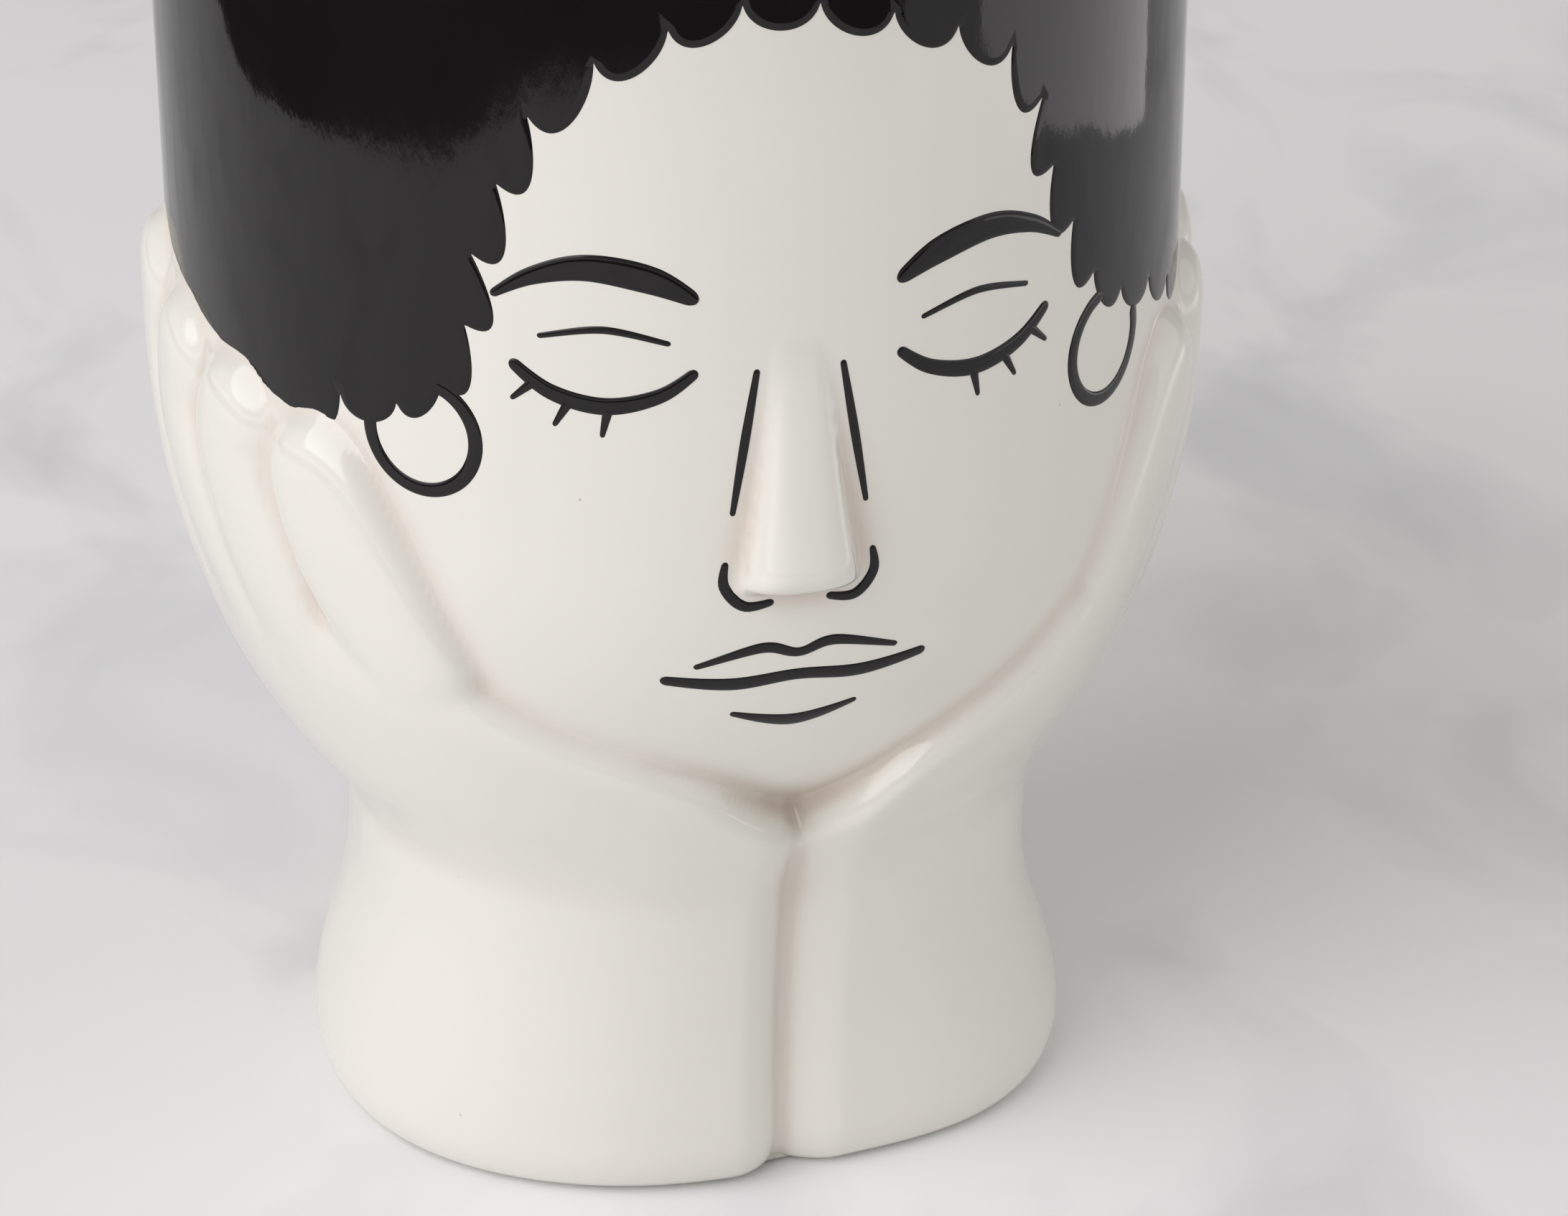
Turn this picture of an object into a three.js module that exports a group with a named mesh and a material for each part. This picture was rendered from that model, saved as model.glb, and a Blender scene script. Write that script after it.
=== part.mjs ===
// Ceramic planter: a cylindrical head that is the pot, cradled by two hands whose wrists are the foot.
// Millimetres, +Z up, origin on the ground under the middle of the whole box. The face looks along -Y.
// Directions around the pot are degrees from the face, 0 in front, 90 at the side, 180 at the back.
import * as THREE from 'three';

// Head
const potRadius = 70;
const potWall = 5;
const rimHeight = 208;
const headBottom = 53;
const jawHeight = 59;
const jawPower = 2.3;
const floorThickness = 7;
const drainRadius = 6;
const drainChamfer = 0.8;

// Space left between pieces that touch, filled by glaze or glue on the real object
const jointGap = 0.3;

// How far a hand's flat facets dip inside the round surface that they follow
const facetSag = 0.3;

// Hands
const handThickness = 4.1;
const cupHeight = 90;
const cupAboveJaw = 10;
const cupPower = 2.1;
const palmBlend = 5;
const hollowRadius = 39.5;
const edgeShare = 0.22;
const edgeBlend = 0.15;
const seamShoulder = 8;
const seamDepth = 4.5;
const thinnestEdge = 0.6;

// Heel of the hand, the bulge beside the chin
const heelAngle = 38;
const heelAboveBottom = 39;
const heelBulge = 1.3;
const heelSpread = 16;

// Foot and wrists
const footHalfWidth = 55;
const footHalfDepth = 45.6;
const footEdgeHeight = 8;
const footEdgeInset = 4.5;
const footFlarePower = 1.8;
const waistHalfWidth = 48.2;
const waistHeight = 48;
const wristHalfDepth = 53;
const wristLeanStart = 20;
const wristLeanEnd = 62;
const wristLeanPower = 1.6;
const wristSquareness = 2.28;

// Foot pads
const padRadius = 4;
const padThickness = 0.8;
const padAngles = [60, 120, 240, 300];
const padInset = 5.4;

// Nose in relief
const noseHeight = 36;
const noseBaseAboveBottom = 57;
const noseHalfWidthBottom = 8;
const noseHalfWidthTop = 3;
const noseProtrusion = 7.5;
const noseRoot = 0.8;
const noseTipLength = 5;
const noseTaperPower = 0.8;
const noseSlopePower = 1.3;
const noseSectionPower = 3;

// Drain plug
const plugFlangeRadius = 12;
const plugFlangeThickness = 2.4;
const plugSeatMargin = 3;
const plugEdge = 1;
const plugStemReach = 4;
const plugTipRadius = 4.4;
const plugNeckRadius = 3.2;
const plugKnobRadius = 5.2;
const plugKnobTopRadius = 3.12;
const plugKnobHeight = 9;

// A finger's points up its middle: degrees from the face, height above the head's bottom, half width
const littleFinger = [[46.5, 37, 10], [51, 55, 10], [55.5, 69.4, 7.2]];
const ringFinger = [[58.5, 33, 8.4], [64.5, 55, 8.6], [68, 74.8, 7.2]];
const middleFinger = [[70.5, 33, 8.4], [76.5, 55, 8.6], [80.5, 77, 7.4]];
const indexFinger = [[83, 33, 8.4], [89, 55, 8.6], [93, 74.5, 7.4]];
const thumb = [[104, 25, 10], [113, 42, 9.8], [120, 54, 8.6]];
const digits = [littleFinger, ringFinger, middleFinger, indexFinger, thumb];
const digitFlatness = 2.6;

// Upper edge of the palm: degrees from the face, height above the head's bottom, width of its rounded edge
const palmEdge = [
  [0, 16, 4], [4, 19, 4], [10, 23, 5], [20, 28, 5], [28, 33, 5], [33, 38, 5], [38, 45, 6],
  [44, 51, 14], [60, 53, 16], [90, 51, 16], [104, 45, 12], [125, 39, 7], [140, 35, 5],
  [152, 30, 5], [165, 24, 5], [175, 19, 4], [180, 16, 4],
];

// Values that follow from the ones above
const jawTop = headBottom + jawHeight;
const cupTop = jawTop + cupAboveJaw;
const cupRadius = potRadius + handThickness;
const insideRadius = potRadius - potWall;
const floorHeight = headBottom + floorThickness;
const insideJaw = jawTop - floorHeight;
const footHeight = padThickness + jointGap;
const noseBottom = headBottom + noseBaseAboveBottom;

const radians = THREE.MathUtils.degToRad;
const clamp = THREE.MathUtils.clamp;

// Radius of the head, a cylinder over a rounded jaw, or of a surface that lies so far outside it
function headRadius(z, outside = 0) {
  const down = clamp((jawTop - z) / (jawHeight + outside), 0, 1);
  return (potRadius + outside) * (1 - down ** jawPower) ** (1 / jawPower);
}

// Radius of the bowl that the backs of the hands follow
function cupRadiusAt(z) {
  const down = clamp((cupTop - z) / cupHeight, 0, 1);
  return cupRadius * (1 - down ** cupPower) ** (1 / cupPower);
}

function smoothMax(a, b, width) {
  const near = Math.max(width - Math.abs(a - b), 0) / width;
  return Math.max(a, b) + near * near * width / 4;
}

// Half width of the wrists across the face: a flared foot with a rounded edge under a straight waist
function wristWidth(z) {
  const up = clamp((z - footEdgeHeight) / (waistHeight - footEdgeHeight), 0, 1);
  const flare = (0.5 + 0.5 * Math.cos(Math.PI * up)) ** footFlarePower;
  return waistHalfWidth + (footHalfWidth - waistHalfWidth) * flare - footEdge(z);
}

// Half depth of the wrists from the seam in front to the seam behind
function wristDepth(z) {
  const up = clamp((z - wristLeanStart) / (wristLeanEnd - wristLeanStart), 0, 1);
  return footHalfDepth + (wristHalfDepth - footHalfDepth) * up ** wristLeanPower - footEdge(z);
}

// How far the rounded edge at the ground draws the foot in
function footEdge(z) {
  const down = clamp((footEdgeHeight - z) / (footEdgeHeight - footHeight), 0, 1);
  return footEdgeInset * (1 - Math.sqrt(1 - down * down));
}

// Radius of the wrists' rounded plan in one direction
function wristRadius(angle, z) {
  const across = Math.abs(Math.sin(radians(angle))) / wristWidth(z);
  const along = Math.abs(Math.cos(radians(angle))) / wristDepth(z);
  return (across ** wristSquareness + along ** wristSquareness) ** (-1 / wristSquareness);
}

// Distance along the pot's side between two points given in degrees and height
function sideOffset(angle, z, point) {
  return [radians(angle - point[0]) * cupRadius, z - (headBottom + point[1])];
}

// Nearest point of a chain of points: its distance from (angle, z) and the chain's third value there
function nearestOnChain(chain, angle, z) {
  let best = { distance: Infinity, value: 0, share: Infinity };
  for (let i = 0; i + 1 < chain.length; i += 1) {
    const [dx, dz] = sideOffset(angle, z, chain[i]);
    const lengthX = radians(chain[i + 1][0] - chain[i][0]) * cupRadius;
    const lengthZ = chain[i + 1][1] - chain[i][1];
    const along = clamp((dx * lengthX + dz * lengthZ) / (lengthX ** 2 + lengthZ ** 2), 0, 1);
    const distance = Math.hypot(dx - along * lengthX, dz - along * lengthZ);
    const value = chain[i][2] + along * (chain[i + 1][2] - chain[i][2]);
    if (distance / value < best.share) best = { distance, value, share: distance / value };
  }
  return best;
}

// Height of the palm's upper edge in one direction
function palmHeight(angle) {
  const next = palmEdge.findIndex((point) => point[0] >= angle);
  if (next <= 0) return headBottom + palmEdge[0][1];
  const [from, to] = [palmEdge[next - 1], palmEdge[next]];
  const along = (angle - from[0]) / (to[0] - from[0]);
  return headBottom + from[1] + along * (to[1] - from[1]);
}

// Share of the hand's full thickness at a point of the pot's side, 1 inside the hand and 0 outside it
function coverage(angle, z) {
  let share = 0;
  for (const digit of digits) {
    const across = Math.min(nearestOnChain(digit, angle, z).share, 1);
    share = Math.max(share, (1 - across ** digitFlatness) ** (1 / digitFlatness));
  }
  if (z < palmHeight(angle)) {
    const edge = nearestOnChain(palmEdge, angle, z);
    const inward = Math.min(edge.distance / edge.value, 1);
    share = smoothMax(share, Math.sqrt(1 - (1 - inward) ** 2), edgeBlend);
  }
  return Math.min(share, 1);
}

// The two wrists' rounded shoulders draw in towards the seam between them
function seamInset(angle, radius) {
  const across = clamp(Math.abs(Math.sin(radians(angle))) * radius, 0, seamShoulder);
  const shoulder = seamShoulder - Math.sqrt(seamShoulder ** 2 - (seamShoulder - across) ** 2);
  return Math.min(shoulder, seamDepth);
}

// Radius of the hand's outside
function handRadius(angle, z) {
  const heelDistance = Math.hypot(
    radians(Math.min(angle, 360 - angle) - heelAngle) * cupRadius,
    z - headBottom - heelAboveBottom,
  );
  const heel = heelBulge * Math.exp(-((heelDistance / heelSpread) ** 2));
  const full = smoothMax(wristRadius(angle, z), cupRadiusAt(z), palmBlend) + heel;
  const palm = full - seamInset(angle, full);
  const head = headRadius(z);
  const radius = head + Math.max(palm - head, 0) * coverage(angle, z);
  return Math.max(radius, handInside(z) + thinnestEdge);
}

// Radius of the hand's inside: a hollow wrist, then the head with the joint's gap
function handInside(z) {
  return Math.max(hollowRadius, headRadius(z, jointGap + facetSag));
}

// Values from one number to another in equal steps, without the last
function steps(from, to, count) {
  return Array.from({ length: count }, (_, i) => from + (to - from) * i / count);
}

// Closed solid between an outer and an inner surface over the part of a (u, v) grid where inside(u, v) > 0
function slab(us, vs, inside, outerAt, innerAt, mirrored = false) {
  const vertices = [];
  const numbers = new Map();
  const vertex = (key, u, v) => {
    if (!numbers.has(key)) numbers.set(key, vertices.push([u, v]) - 1);
    return numbers.get(key);
  };
  const level = us.map((u) => vs.map((v) => inside(u, v)));
  const cornerMargin = 0.15;

  // Where the edge between an inner corner and an outer corner leaves the region, kept off both corners
  const crossing = ([i, j], [k, l]) => {
    const at = (share) => [us[i] + (us[k] - us[i]) * share, vs[j] + (vs[l] - vs[j]) * share];
    let [low, high] = [0, 1];
    for (let step = 0; step < 8; step += 1) {
      const middle = (low + high) / 2;
      if (inside(...at(middle)) > 0) low = middle;
      else high = middle;
    }
    return vertex(`${i},${j}-${k},${l}`, ...at(clamp(low, cornerMargin, 1 - cornerMargin)));
  };

  const faces = [];
  for (let i = 0; i + 1 < us.length; i += 1) {
    for (let j = 0; j + 1 < vs.length; j += 1) {
      const corners = [[i, j], [i + 1, j], [i + 1, j + 1], [i, j + 1]];
      const polygon = [];
      corners.forEach((from, n) => {
        const to = corners[(n + 1) % 4];
        const fromIn = level[from[0]][from[1]] > 0;
        const toIn = level[to[0]][to[1]] > 0;
        if (fromIn) polygon.push(vertex(from.join(), us[from[0]], vs[from[1]]));
        if (fromIn && !toIn) polygon.push(crossing(from, to));
        if (toIn && !fromIn) polygon.push(crossing(to, from));
      });
      for (let n = 1; n + 1 < polygon.length; n += 1) faces.push([polygon[0], polygon[n], polygon[n + 1]]);
    }
  }

  const count = vertices.length;
  const edges = new Set(faces.flatMap(([a, b, c]) => [`${a},${b}`, `${b},${c}`, `${c},${a}`]));
  const index = faces.flatMap(([a, b, c]) => [a, b, c, a + count, c + count, b + count]);
  for (const edge of edges) {
    const [a, b] = edge.split(',').map(Number);
    if (!edges.has(`${b},${a}`)) index.push(b, a, a + count, b, a + count, b + count);
  }
  if (mirrored) index.reverse();
  const positions = [...vertices.map((v) => outerAt(...v)), ...vertices.map((v) => innerAt(...v))].flat();
  const geometry = new THREE.BufferGeometry();
  geometry.setAttribute('position', new THREE.Float32BufferAttribute(positions, 3));
  geometry.setIndex(index);
  geometry.computeVertexNormals();
  return geometry;
}

function polar(angle, radius, z) {
  return [radius * Math.sin(radians(angle)), -radius * Math.cos(radians(angle)), z];
}

function ceramic(color) {
  return new THREE.MeshStandardMaterial({ color, roughness: 0.15, metalness: 0 });
}

function rubber(color) {
  return new THREE.MeshStandardMaterial({ color, roughness: 0.8, metalness: 0 });
}

function named(name, geometry, material) {
  const mesh = new THREE.Mesh(geometry, material);
  mesh.name = name;
  return mesh;
}

// A solid of revolution about the vertical axis, from [radius, height] points in order up its outside
function turned(profile, segments) {
  const points = profile.map(([radius, height]) => new THREE.Vector2(radius, height));
  return new THREE.LatheGeometry(points, segments).rotateX(Math.PI / 2);
}

// Pot: jaw and cylinder outside, rounded rim, smooth bowl inside, drain hole through the floor
function headBowl() {
  const jawSteps = 9;
  const insideSteps = 8;
  const rimSteps = 5;
  const seatRadius = plugFlangeRadius + plugSeatMargin;
  const outside = [[drainRadius + drainChamfer, headBottom], [seatRadius, headBottom]];
  for (let i = 1; i <= jawSteps; i += 1) {
    const z = headBottom + jawHeight * (1 - Math.cos(Math.PI / 2 * i / jawSteps));
    if (headRadius(z) > seatRadius) outside.push([headRadius(z), z]);
  }
  const lip = potWall / 2;
  const rim = Array.from({ length: rimSteps + 1 }, (_, i) => {
    const turn = Math.PI * i / rimSteps;
    return [potRadius - lip + lip * Math.cos(turn), rimHeight - lip + lip * Math.sin(turn)];
  });
  const inside = [];
  for (let i = insideSteps; i >= 1; i -= 1) {
    const down = Math.cos(Math.PI / 2 * i / insideSteps);
    const radius = insideRadius * (1 - down ** jawPower) ** (1 / jawPower);
    if (radius > seatRadius + potWall) inside.push([radius, jawTop - insideJaw * down]);
  }
  const hole = [
    [seatRadius, floorHeight],
    [drainRadius + drainChamfer, floorHeight],
    [drainRadius, floorHeight - drainChamfer],
    [drainRadius, headBottom + drainChamfer],
  ];
  const profile = [...outside, ...rim, ...inside, ...hole];
  return named('head_bowl', turned([...profile, profile[0]], 72), ceramic(0xe6e3db));
}

// One hand: wrist, palm, four fingers and thumb. side is 1 for the hand on +X and -1 for the other
function hand(name, side) {
  const seamStep = THREE.MathUtils.radToDeg(jointGap / 2 / footHalfDepth);
  const angles = [
    seamStep, 1.8, 4, 7, ...steps(11, 36, 5), ...steps(36, 99, 21), ...steps(99, 135, 10),
    ...steps(135, 169, 6), 169, 173, 176, 178.2, 180 - seamStep,
  ];
  const wristTop = waistHeight + 10;
  const aboveTips = headBottom + Math.max(...digits.map((digit) => digit[2][1] + digit[2][2])) + 1;

  // Rows 0 to 1 climb the wrist, 1 to 2 the palm up to its edge, 2 to 3 the fingers
  const heightAt = (angle, row) => {
    const edge = palmHeight(angle);
    if (row <= 1) return footHeight + (wristTop - footHeight) * row;
    if (row <= 2) return wristTop + (edge - wristTop) * (row - 1);
    return edge + (aboveTips - edge) * (row - 2);
  };
  const wristHeights = [
    ...[0, 0.09, 0.32, 0.64].map((share) => footHeight + (footEdgeHeight - footHeight) * share),
    ...steps(footEdgeHeight + 1, wristTop, 7),
  ];
  const rows = [
    ...wristHeights.map((z) => (z - footHeight) / (wristTop - footHeight)),
    ...steps(1, 1.8, 6), 1.8, 1.9, 1.96, ...steps(2, 3, 10), 3,
  ];
  const place = (angle, radius, z) => {
    const [x, y] = polar(angle, radius, z);
    const onSeam = angle === angles[0] || angle === angles[angles.length - 1];
    return [side * (onSeam ? jointGap / 2 : x), y, z];
  };
  return named(name, slab(
    angles,
    rows,
    (angle, row) => coverage(angle, heightAt(angle, row)) - edgeShare,
    (angle, row) => place(angle, handRadius(angle, heightAt(angle, row)), heightAt(angle, row)),
    (angle, row) => place(angle, handInside(heightAt(angle, row)), heightAt(angle, row)),
    side < 0,
  ), ceramic(0xe8e5de));
}

// Nose: a plain wedge in relief that widens towards its rounded tip
function nose() {
  const seatAngle = (across, up) => {
    const taper = (noseHalfWidthTop - noseHalfWidthBottom) * up ** noseTaperPower;
    return THREE.MathUtils.radToDeg(across * (noseHalfWidthBottom + taper) / potRadius);
  };
  const seatAt = (across, up) => {
    const z = noseBottom + noseHeight * up;
    return polar(seatAngle(across, up), headRadius(z, jointGap), z);
  };
  const ridgeAt = (across, up) => {
    const z = noseBottom + noseHeight * up;
    const tip = Math.sqrt(1 - (1 - Math.min(up * noseHeight / noseTipLength, 1)) ** 2);
    const ridge = noseRoot + (noseProtrusion - noseRoot) * (1 - up) ** noseSlopePower * tip;
    const section = Math.sqrt(1 - Math.abs(across) ** noseSectionPower);
    return polar(seatAngle(across, up), headRadius(z, jointGap) + noseRoot / 2 + ridge * section, z);
  };
  const across = [...steps(-1, 1, 9), 1];
  const up = [...steps(0, 1, 9), 1];
  return named('nose', slab(across, up, () => 1, ridgeAt, seatAt), ceramic(0xe8e5de));
}

// Rubber plug: a tapered stem in the drain hole, a flange on the floor and a knob to pull it by
function drainPlug() {
  const seat = floorHeight + jointGap;
  const flangeTop = seat + plugFlangeThickness;
  const knobTop = flangeTop + plugKnobHeight;
  const knobMiddle = knobTop - plugKnobTopRadius;
  const stemRadius = drainRadius - jointGap;
  return named('drain_plug', turned([
    [0, headBottom - plugStemReach],
    [plugTipRadius - plugEdge, headBottom - plugStemReach],
    [plugTipRadius, headBottom - plugStemReach + plugEdge],
    [stemRadius, headBottom + drainChamfer],
    [stemRadius, seat],
    [plugFlangeRadius, seat],
    [plugFlangeRadius, flangeTop - plugEdge],
    [plugFlangeRadius - plugEdge, flangeTop],
    [plugNeckRadius, flangeTop],
    [plugNeckRadius, knobMiddle - (plugKnobRadius - plugNeckRadius)],
    [plugKnobRadius, knobMiddle],
    [plugKnobTopRadius, knobTop],
    [0, knobTop],
  ], 32), rubber(0x2a2a2a));
}

// Round pads under the foot's ring
function footPads() {
  return padAngles.map((angle, i) => {
    const pad = named(
      `foot_pad_${i + 1}`,
      new THREE.CylinderGeometry(padRadius, padRadius, padThickness, 20).rotateX(Math.PI / 2),
      rubber(0xb8b4aa),
    );
    const radius = wristRadius(angle, footHeight) - padInset;
    pad.position.set(...polar(angle, radius, padThickness / 2));
    return pad;
  });
}

const planter = new THREE.Group();
planter.add(headBowl(), nose(), hand('left_hand', -1), hand('right_hand', 1));
planter.add(drainPlug(), ...footPads());

// Built around the pot's axis, then moved so that the origin is under the middle of the box
const box = new THREE.Box3().setFromObject(planter);
planter.position.y = -(box.min.y + box.max.y) / 2;

export default planter;
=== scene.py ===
"""Looks of the ceramic planter: a head-shaped pot cradled by two hands, glazed cream with black painting."""

import math
from functools import cached_property

import bpy
import numpy as np
from mathutils import Matrix, Vector
from mathutils.geometry import delaunay_2d_cdt


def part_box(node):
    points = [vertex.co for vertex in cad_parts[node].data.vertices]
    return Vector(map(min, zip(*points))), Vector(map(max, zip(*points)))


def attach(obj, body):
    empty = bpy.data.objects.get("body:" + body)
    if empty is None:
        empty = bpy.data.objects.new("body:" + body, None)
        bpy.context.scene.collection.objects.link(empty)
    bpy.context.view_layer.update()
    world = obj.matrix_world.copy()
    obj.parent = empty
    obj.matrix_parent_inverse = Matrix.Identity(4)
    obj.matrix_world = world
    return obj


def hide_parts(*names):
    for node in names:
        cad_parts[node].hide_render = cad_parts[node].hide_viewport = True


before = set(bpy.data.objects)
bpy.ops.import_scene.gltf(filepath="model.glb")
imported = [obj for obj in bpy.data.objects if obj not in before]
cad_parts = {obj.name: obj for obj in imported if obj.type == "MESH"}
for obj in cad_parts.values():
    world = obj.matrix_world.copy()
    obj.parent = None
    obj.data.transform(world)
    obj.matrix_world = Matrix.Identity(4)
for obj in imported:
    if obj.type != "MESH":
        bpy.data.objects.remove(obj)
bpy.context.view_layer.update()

# Sizes are in millimetres until a mesh is made. Angles round the pot are degrees from the face, positive to
# the viewer's right. A side is -1 for the left and 1 for the right.
MM = 0.001
TINY = 1e-6

# Pot, from the frame where the frame gives it
pot_low, pot_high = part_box("head_bowl")
AXIS_Y = (pot_low.y + pot_high.y) / 2 / MM
PAINT_THICKNESS = 0.2
UNEVENNESS = 0.12
POT_RADIUS = (pot_high.x - pot_low.x) / 2 / MM - PAINT_THICKNESS - UNEVENNESS
HEAD_BOTTOM = pot_low.z / MM
RIM_TOP = pot_high.z / MM - PAINT_THICKNESS
POT_WALL = 5.0
LIP_RADIUS = POT_WALL / 2
LIP_START = RIM_TOP - LIP_RADIUS
JAW_HEIGHT = 59.0
JAW_POWER = 2.3
JAW_TOP = HEAD_BOTTOM + JAW_HEIGHT
FLOOR_THICKNESS = 7.0
FLOOR_HEIGHT = HEAD_BOTTOM + FLOOR_THICKNESS
DRAIN_RADIUS = 6.0
DRAIN_ROUNDING = 0.8

# Slow waves of a hand-finished surface: share of UNEVENNESS, waves round the pot, millimetres of height per
# radian, and phase
WAVES = [(0.40, 2, 37, 1.3), (0.25, 3, -26, 4.1), (0.20, 6, 21, 2.2), (0.15, 9, -13, 0.7)]

# Hands
HAND_THICKNESS = 3.95
CUP_HEIGHT = 90.0
CUP_TOP = JAW_TOP + 10
CUP_POWER = 2.1
CUP_RADIUS = POT_RADIUS + HAND_THICKNESS
PALM_BLEND = 5.0
SHARE_BLEND = 0.15
HOLLOW_RADIUS = 39.5
HEEL_ANGLE = 38.0
HEEL_HEIGHT = HEAD_BOTTOM + 39
HEEL_BULGE = 1.3
HEEL_SPREAD = 16.0

# The seam between the wrists: its shoulders, and how far it stands to the right of the face's middle in front
SEAM_SHOULDERS = {-1: 7.0, 1: 9.0}
SEAM_SHOULDER_POWER = 1.45
SEAM_DEPTH = 5.2
SEAM_FILL = 3.7
SEAM_OFFSET = 4.5
SEAM_OFFSET_SPREAD = 33.0
SEAM_OFFSET_FADE = (78.0, 98.0)

# Foot and wrists; the wrists' plans differ a little, as hand-finished casts do
FOOT_BOTTOM = 0.4
FOOT_EDGE_HEIGHT = 8.0
FOOT_EDGE_INSET = 4.5
FOOT_HALF_WIDTH = 55.0
FOOT_HALF_DEPTH = 45.6
FOOT_FLARE_POWER = 1.8
WAIST_HALF_WIDTH = 48.2
WAIST_HEIGHT = 48.0
WRIST_HALF_DEPTH = 53.0
WRIST_LEAN_HEIGHTS = (20.0, 62.0)
WRIST_LEAN_POWER = 1.6
WRIST_SQUARENESS = {-1: 2.2, 1: 2.65}

# Each finger's middle line: angle, height above the head's bottom, half width
DIGITS = [
    [(44, 40, 10.2), (50.5, 54, 10.6), (54, 63, 9.8), (55, 66, 8.4)],
    [(62, 35, 9.2), (68, 55, 9.4), (70, 64, 9.2), (69, 69, 8.4)],
    [(72.5, 35, 9.2), (81, 55, 9.4), (83.5, 64, 9.2), (82, 71.8, 8.6)],
    [(84, 35, 9.2), (94, 55, 9.4), (97, 66, 9.2), (94.5, 77.4, 8.4)],
    [(106, 25, 10), (116, 42, 9.8), (123, 54, 8.6)],
]
DIGIT_FLATNESS = 2.4

# The right hand's fingers lie this many degrees further back than the left hand's
RIGHT_HAND_TURN = 3.5

# The fingers lie close, so the grooves between them only go down to this share of their thickness
FINGER_WEB = [(57, 60, 13), (70, 64, 13), (82, 67, 13.5), (90, 70, 13.5)]
FINGER_WEB_SHARE = 0.38

# The palm's upper edge: angle, height above the head's bottom, width of its rounding
PALM_EDGE = [
    (0, 11.5, 4.2), (4.7, 15.2, 4.2), (8.5, 18.8, 4.2), (13, 23.2, 4.4), (20.5, 28.2, 5.2), (27, 32, 6),
    (33, 36.5, 7.5), (38, 41, 9.5), (44, 44, 13), (60, 44, 14), (90, 43, 14), (104, 43, 12),
    (125, 39, 7), (140, 35, 5), (152, 30, 5), (165, 24, 5), (175, 15.5, 6), (180, 11.5, 6),
]

# Nose in relief, a plain wedge
NOSE_BOTTOM = HEAD_BOTTOM + 57
NOSE_HEIGHT = 36.0
NOSE_HALF_WIDTH = (8.0, 3.0)
NOSE_TAPER_POWER = 0.8
NOSE_SECTION_POWER = 3
NOSE_PROTRUSION = 7.3
NOSE_SLOPE_POWER = 1.35
NOSE_TIP_LENGTH = 5.0


# Curves and lines that the shapes share
def between(z, start, end):
    """How far z is on the way from start to end, from 0 to 1."""
    return np.clip((z - start) / (end - start), 0, 1)


def unit(vectors):
    return vectors / np.linalg.norm(vectors, axis=-1, keepdims=True)


def shoulder(share, power):
    """1 at share 0, falling ever faster to 0 at share 1; a quarter circle where power is 2."""
    return (1 - share**power) ** (1 / power)


def quarter_round(share):
    """0 at share 0, rising ever more slowly to 1 at share 1, as a quarter circle."""
    return np.sqrt(1 - (1 - share) ** 2)


def bell(distance, width, power=2):
    """1 at distance 0, falling smoothly to almost nothing at twice the width."""
    return np.exp(-((distance / width) ** power))


def smooth_max(a, b, width):
    near = np.maximum(width - np.abs(a - b), 0) / width
    return np.maximum(a, b) + near * near * width / 4


def merged(a, b):
    """smooth_max of two shares, which stays 0 where both are."""
    return smooth_max(a, b, np.minimum(SHARE_BLEND, np.maximum(a, b) + TINY))


def smoothed(chain, steps=5):
    """The same line with its corners rounded, through Catmull-Rom curves."""
    points = np.array([chain[0], *chain, chain[-1]], float)
    made = []
    for a, b, c, d in zip(points, points[1:], points[2:], points[3:]):
        for t in np.arange(steps) / steps:
            made.append(b + 0.5 * t * (c - a + t * (2 * a - 5 * b + 4 * c - d + t * (3 * (b - c) + d - a))))
    made.append(points[-1])
    return [tuple(point) for point in made]


def bezier(points, count):
    t = np.linspace(0, 1, count, endpoint=False)[:, None]
    a, b, c, d = points
    return a * (1 - t) ** 3 + 3 * b * t * (1 - t) ** 2 + 3 * c * t * t * (1 - t) + d * t**3


def lengths_along(points):
    """Length of a line up to each of its points."""
    return np.concatenate([[0], np.cumsum(np.linalg.norm(np.diff(points, axis=0), axis=1))])


def evenly(points, step):
    """The same line with points at even steps; both ends stay."""
    lengths = lengths_along(points)
    wanted = np.linspace(0, lengths[-1], int(round(lengths[-1] / step)) + 1)
    return np.stack([np.interp(wanted, lengths, points[:, k]) for k in (0, 1)], axis=-1)


# Radii of the outside over angles and heights
def head_radius(z):
    return POT_RADIUS * shoulder(np.clip((JAW_TOP - z) / JAW_HEIGHT, 0, 1), JAW_POWER)


def unevenness(theta, z):
    """Height of the slow waves, within UNEVENNESS either way."""
    angle = np.radians(theta)
    waves = [share * np.sin(count * angle + z / rise + phase) for share, count, rise, phase in WAVES]
    return UNEVENNESS * sum(waves)


def cup_radius(z):
    return CUP_RADIUS * shoulder(np.clip((CUP_TOP - z) / CUP_HEIGHT, 0, 1), CUP_POWER)


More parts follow.
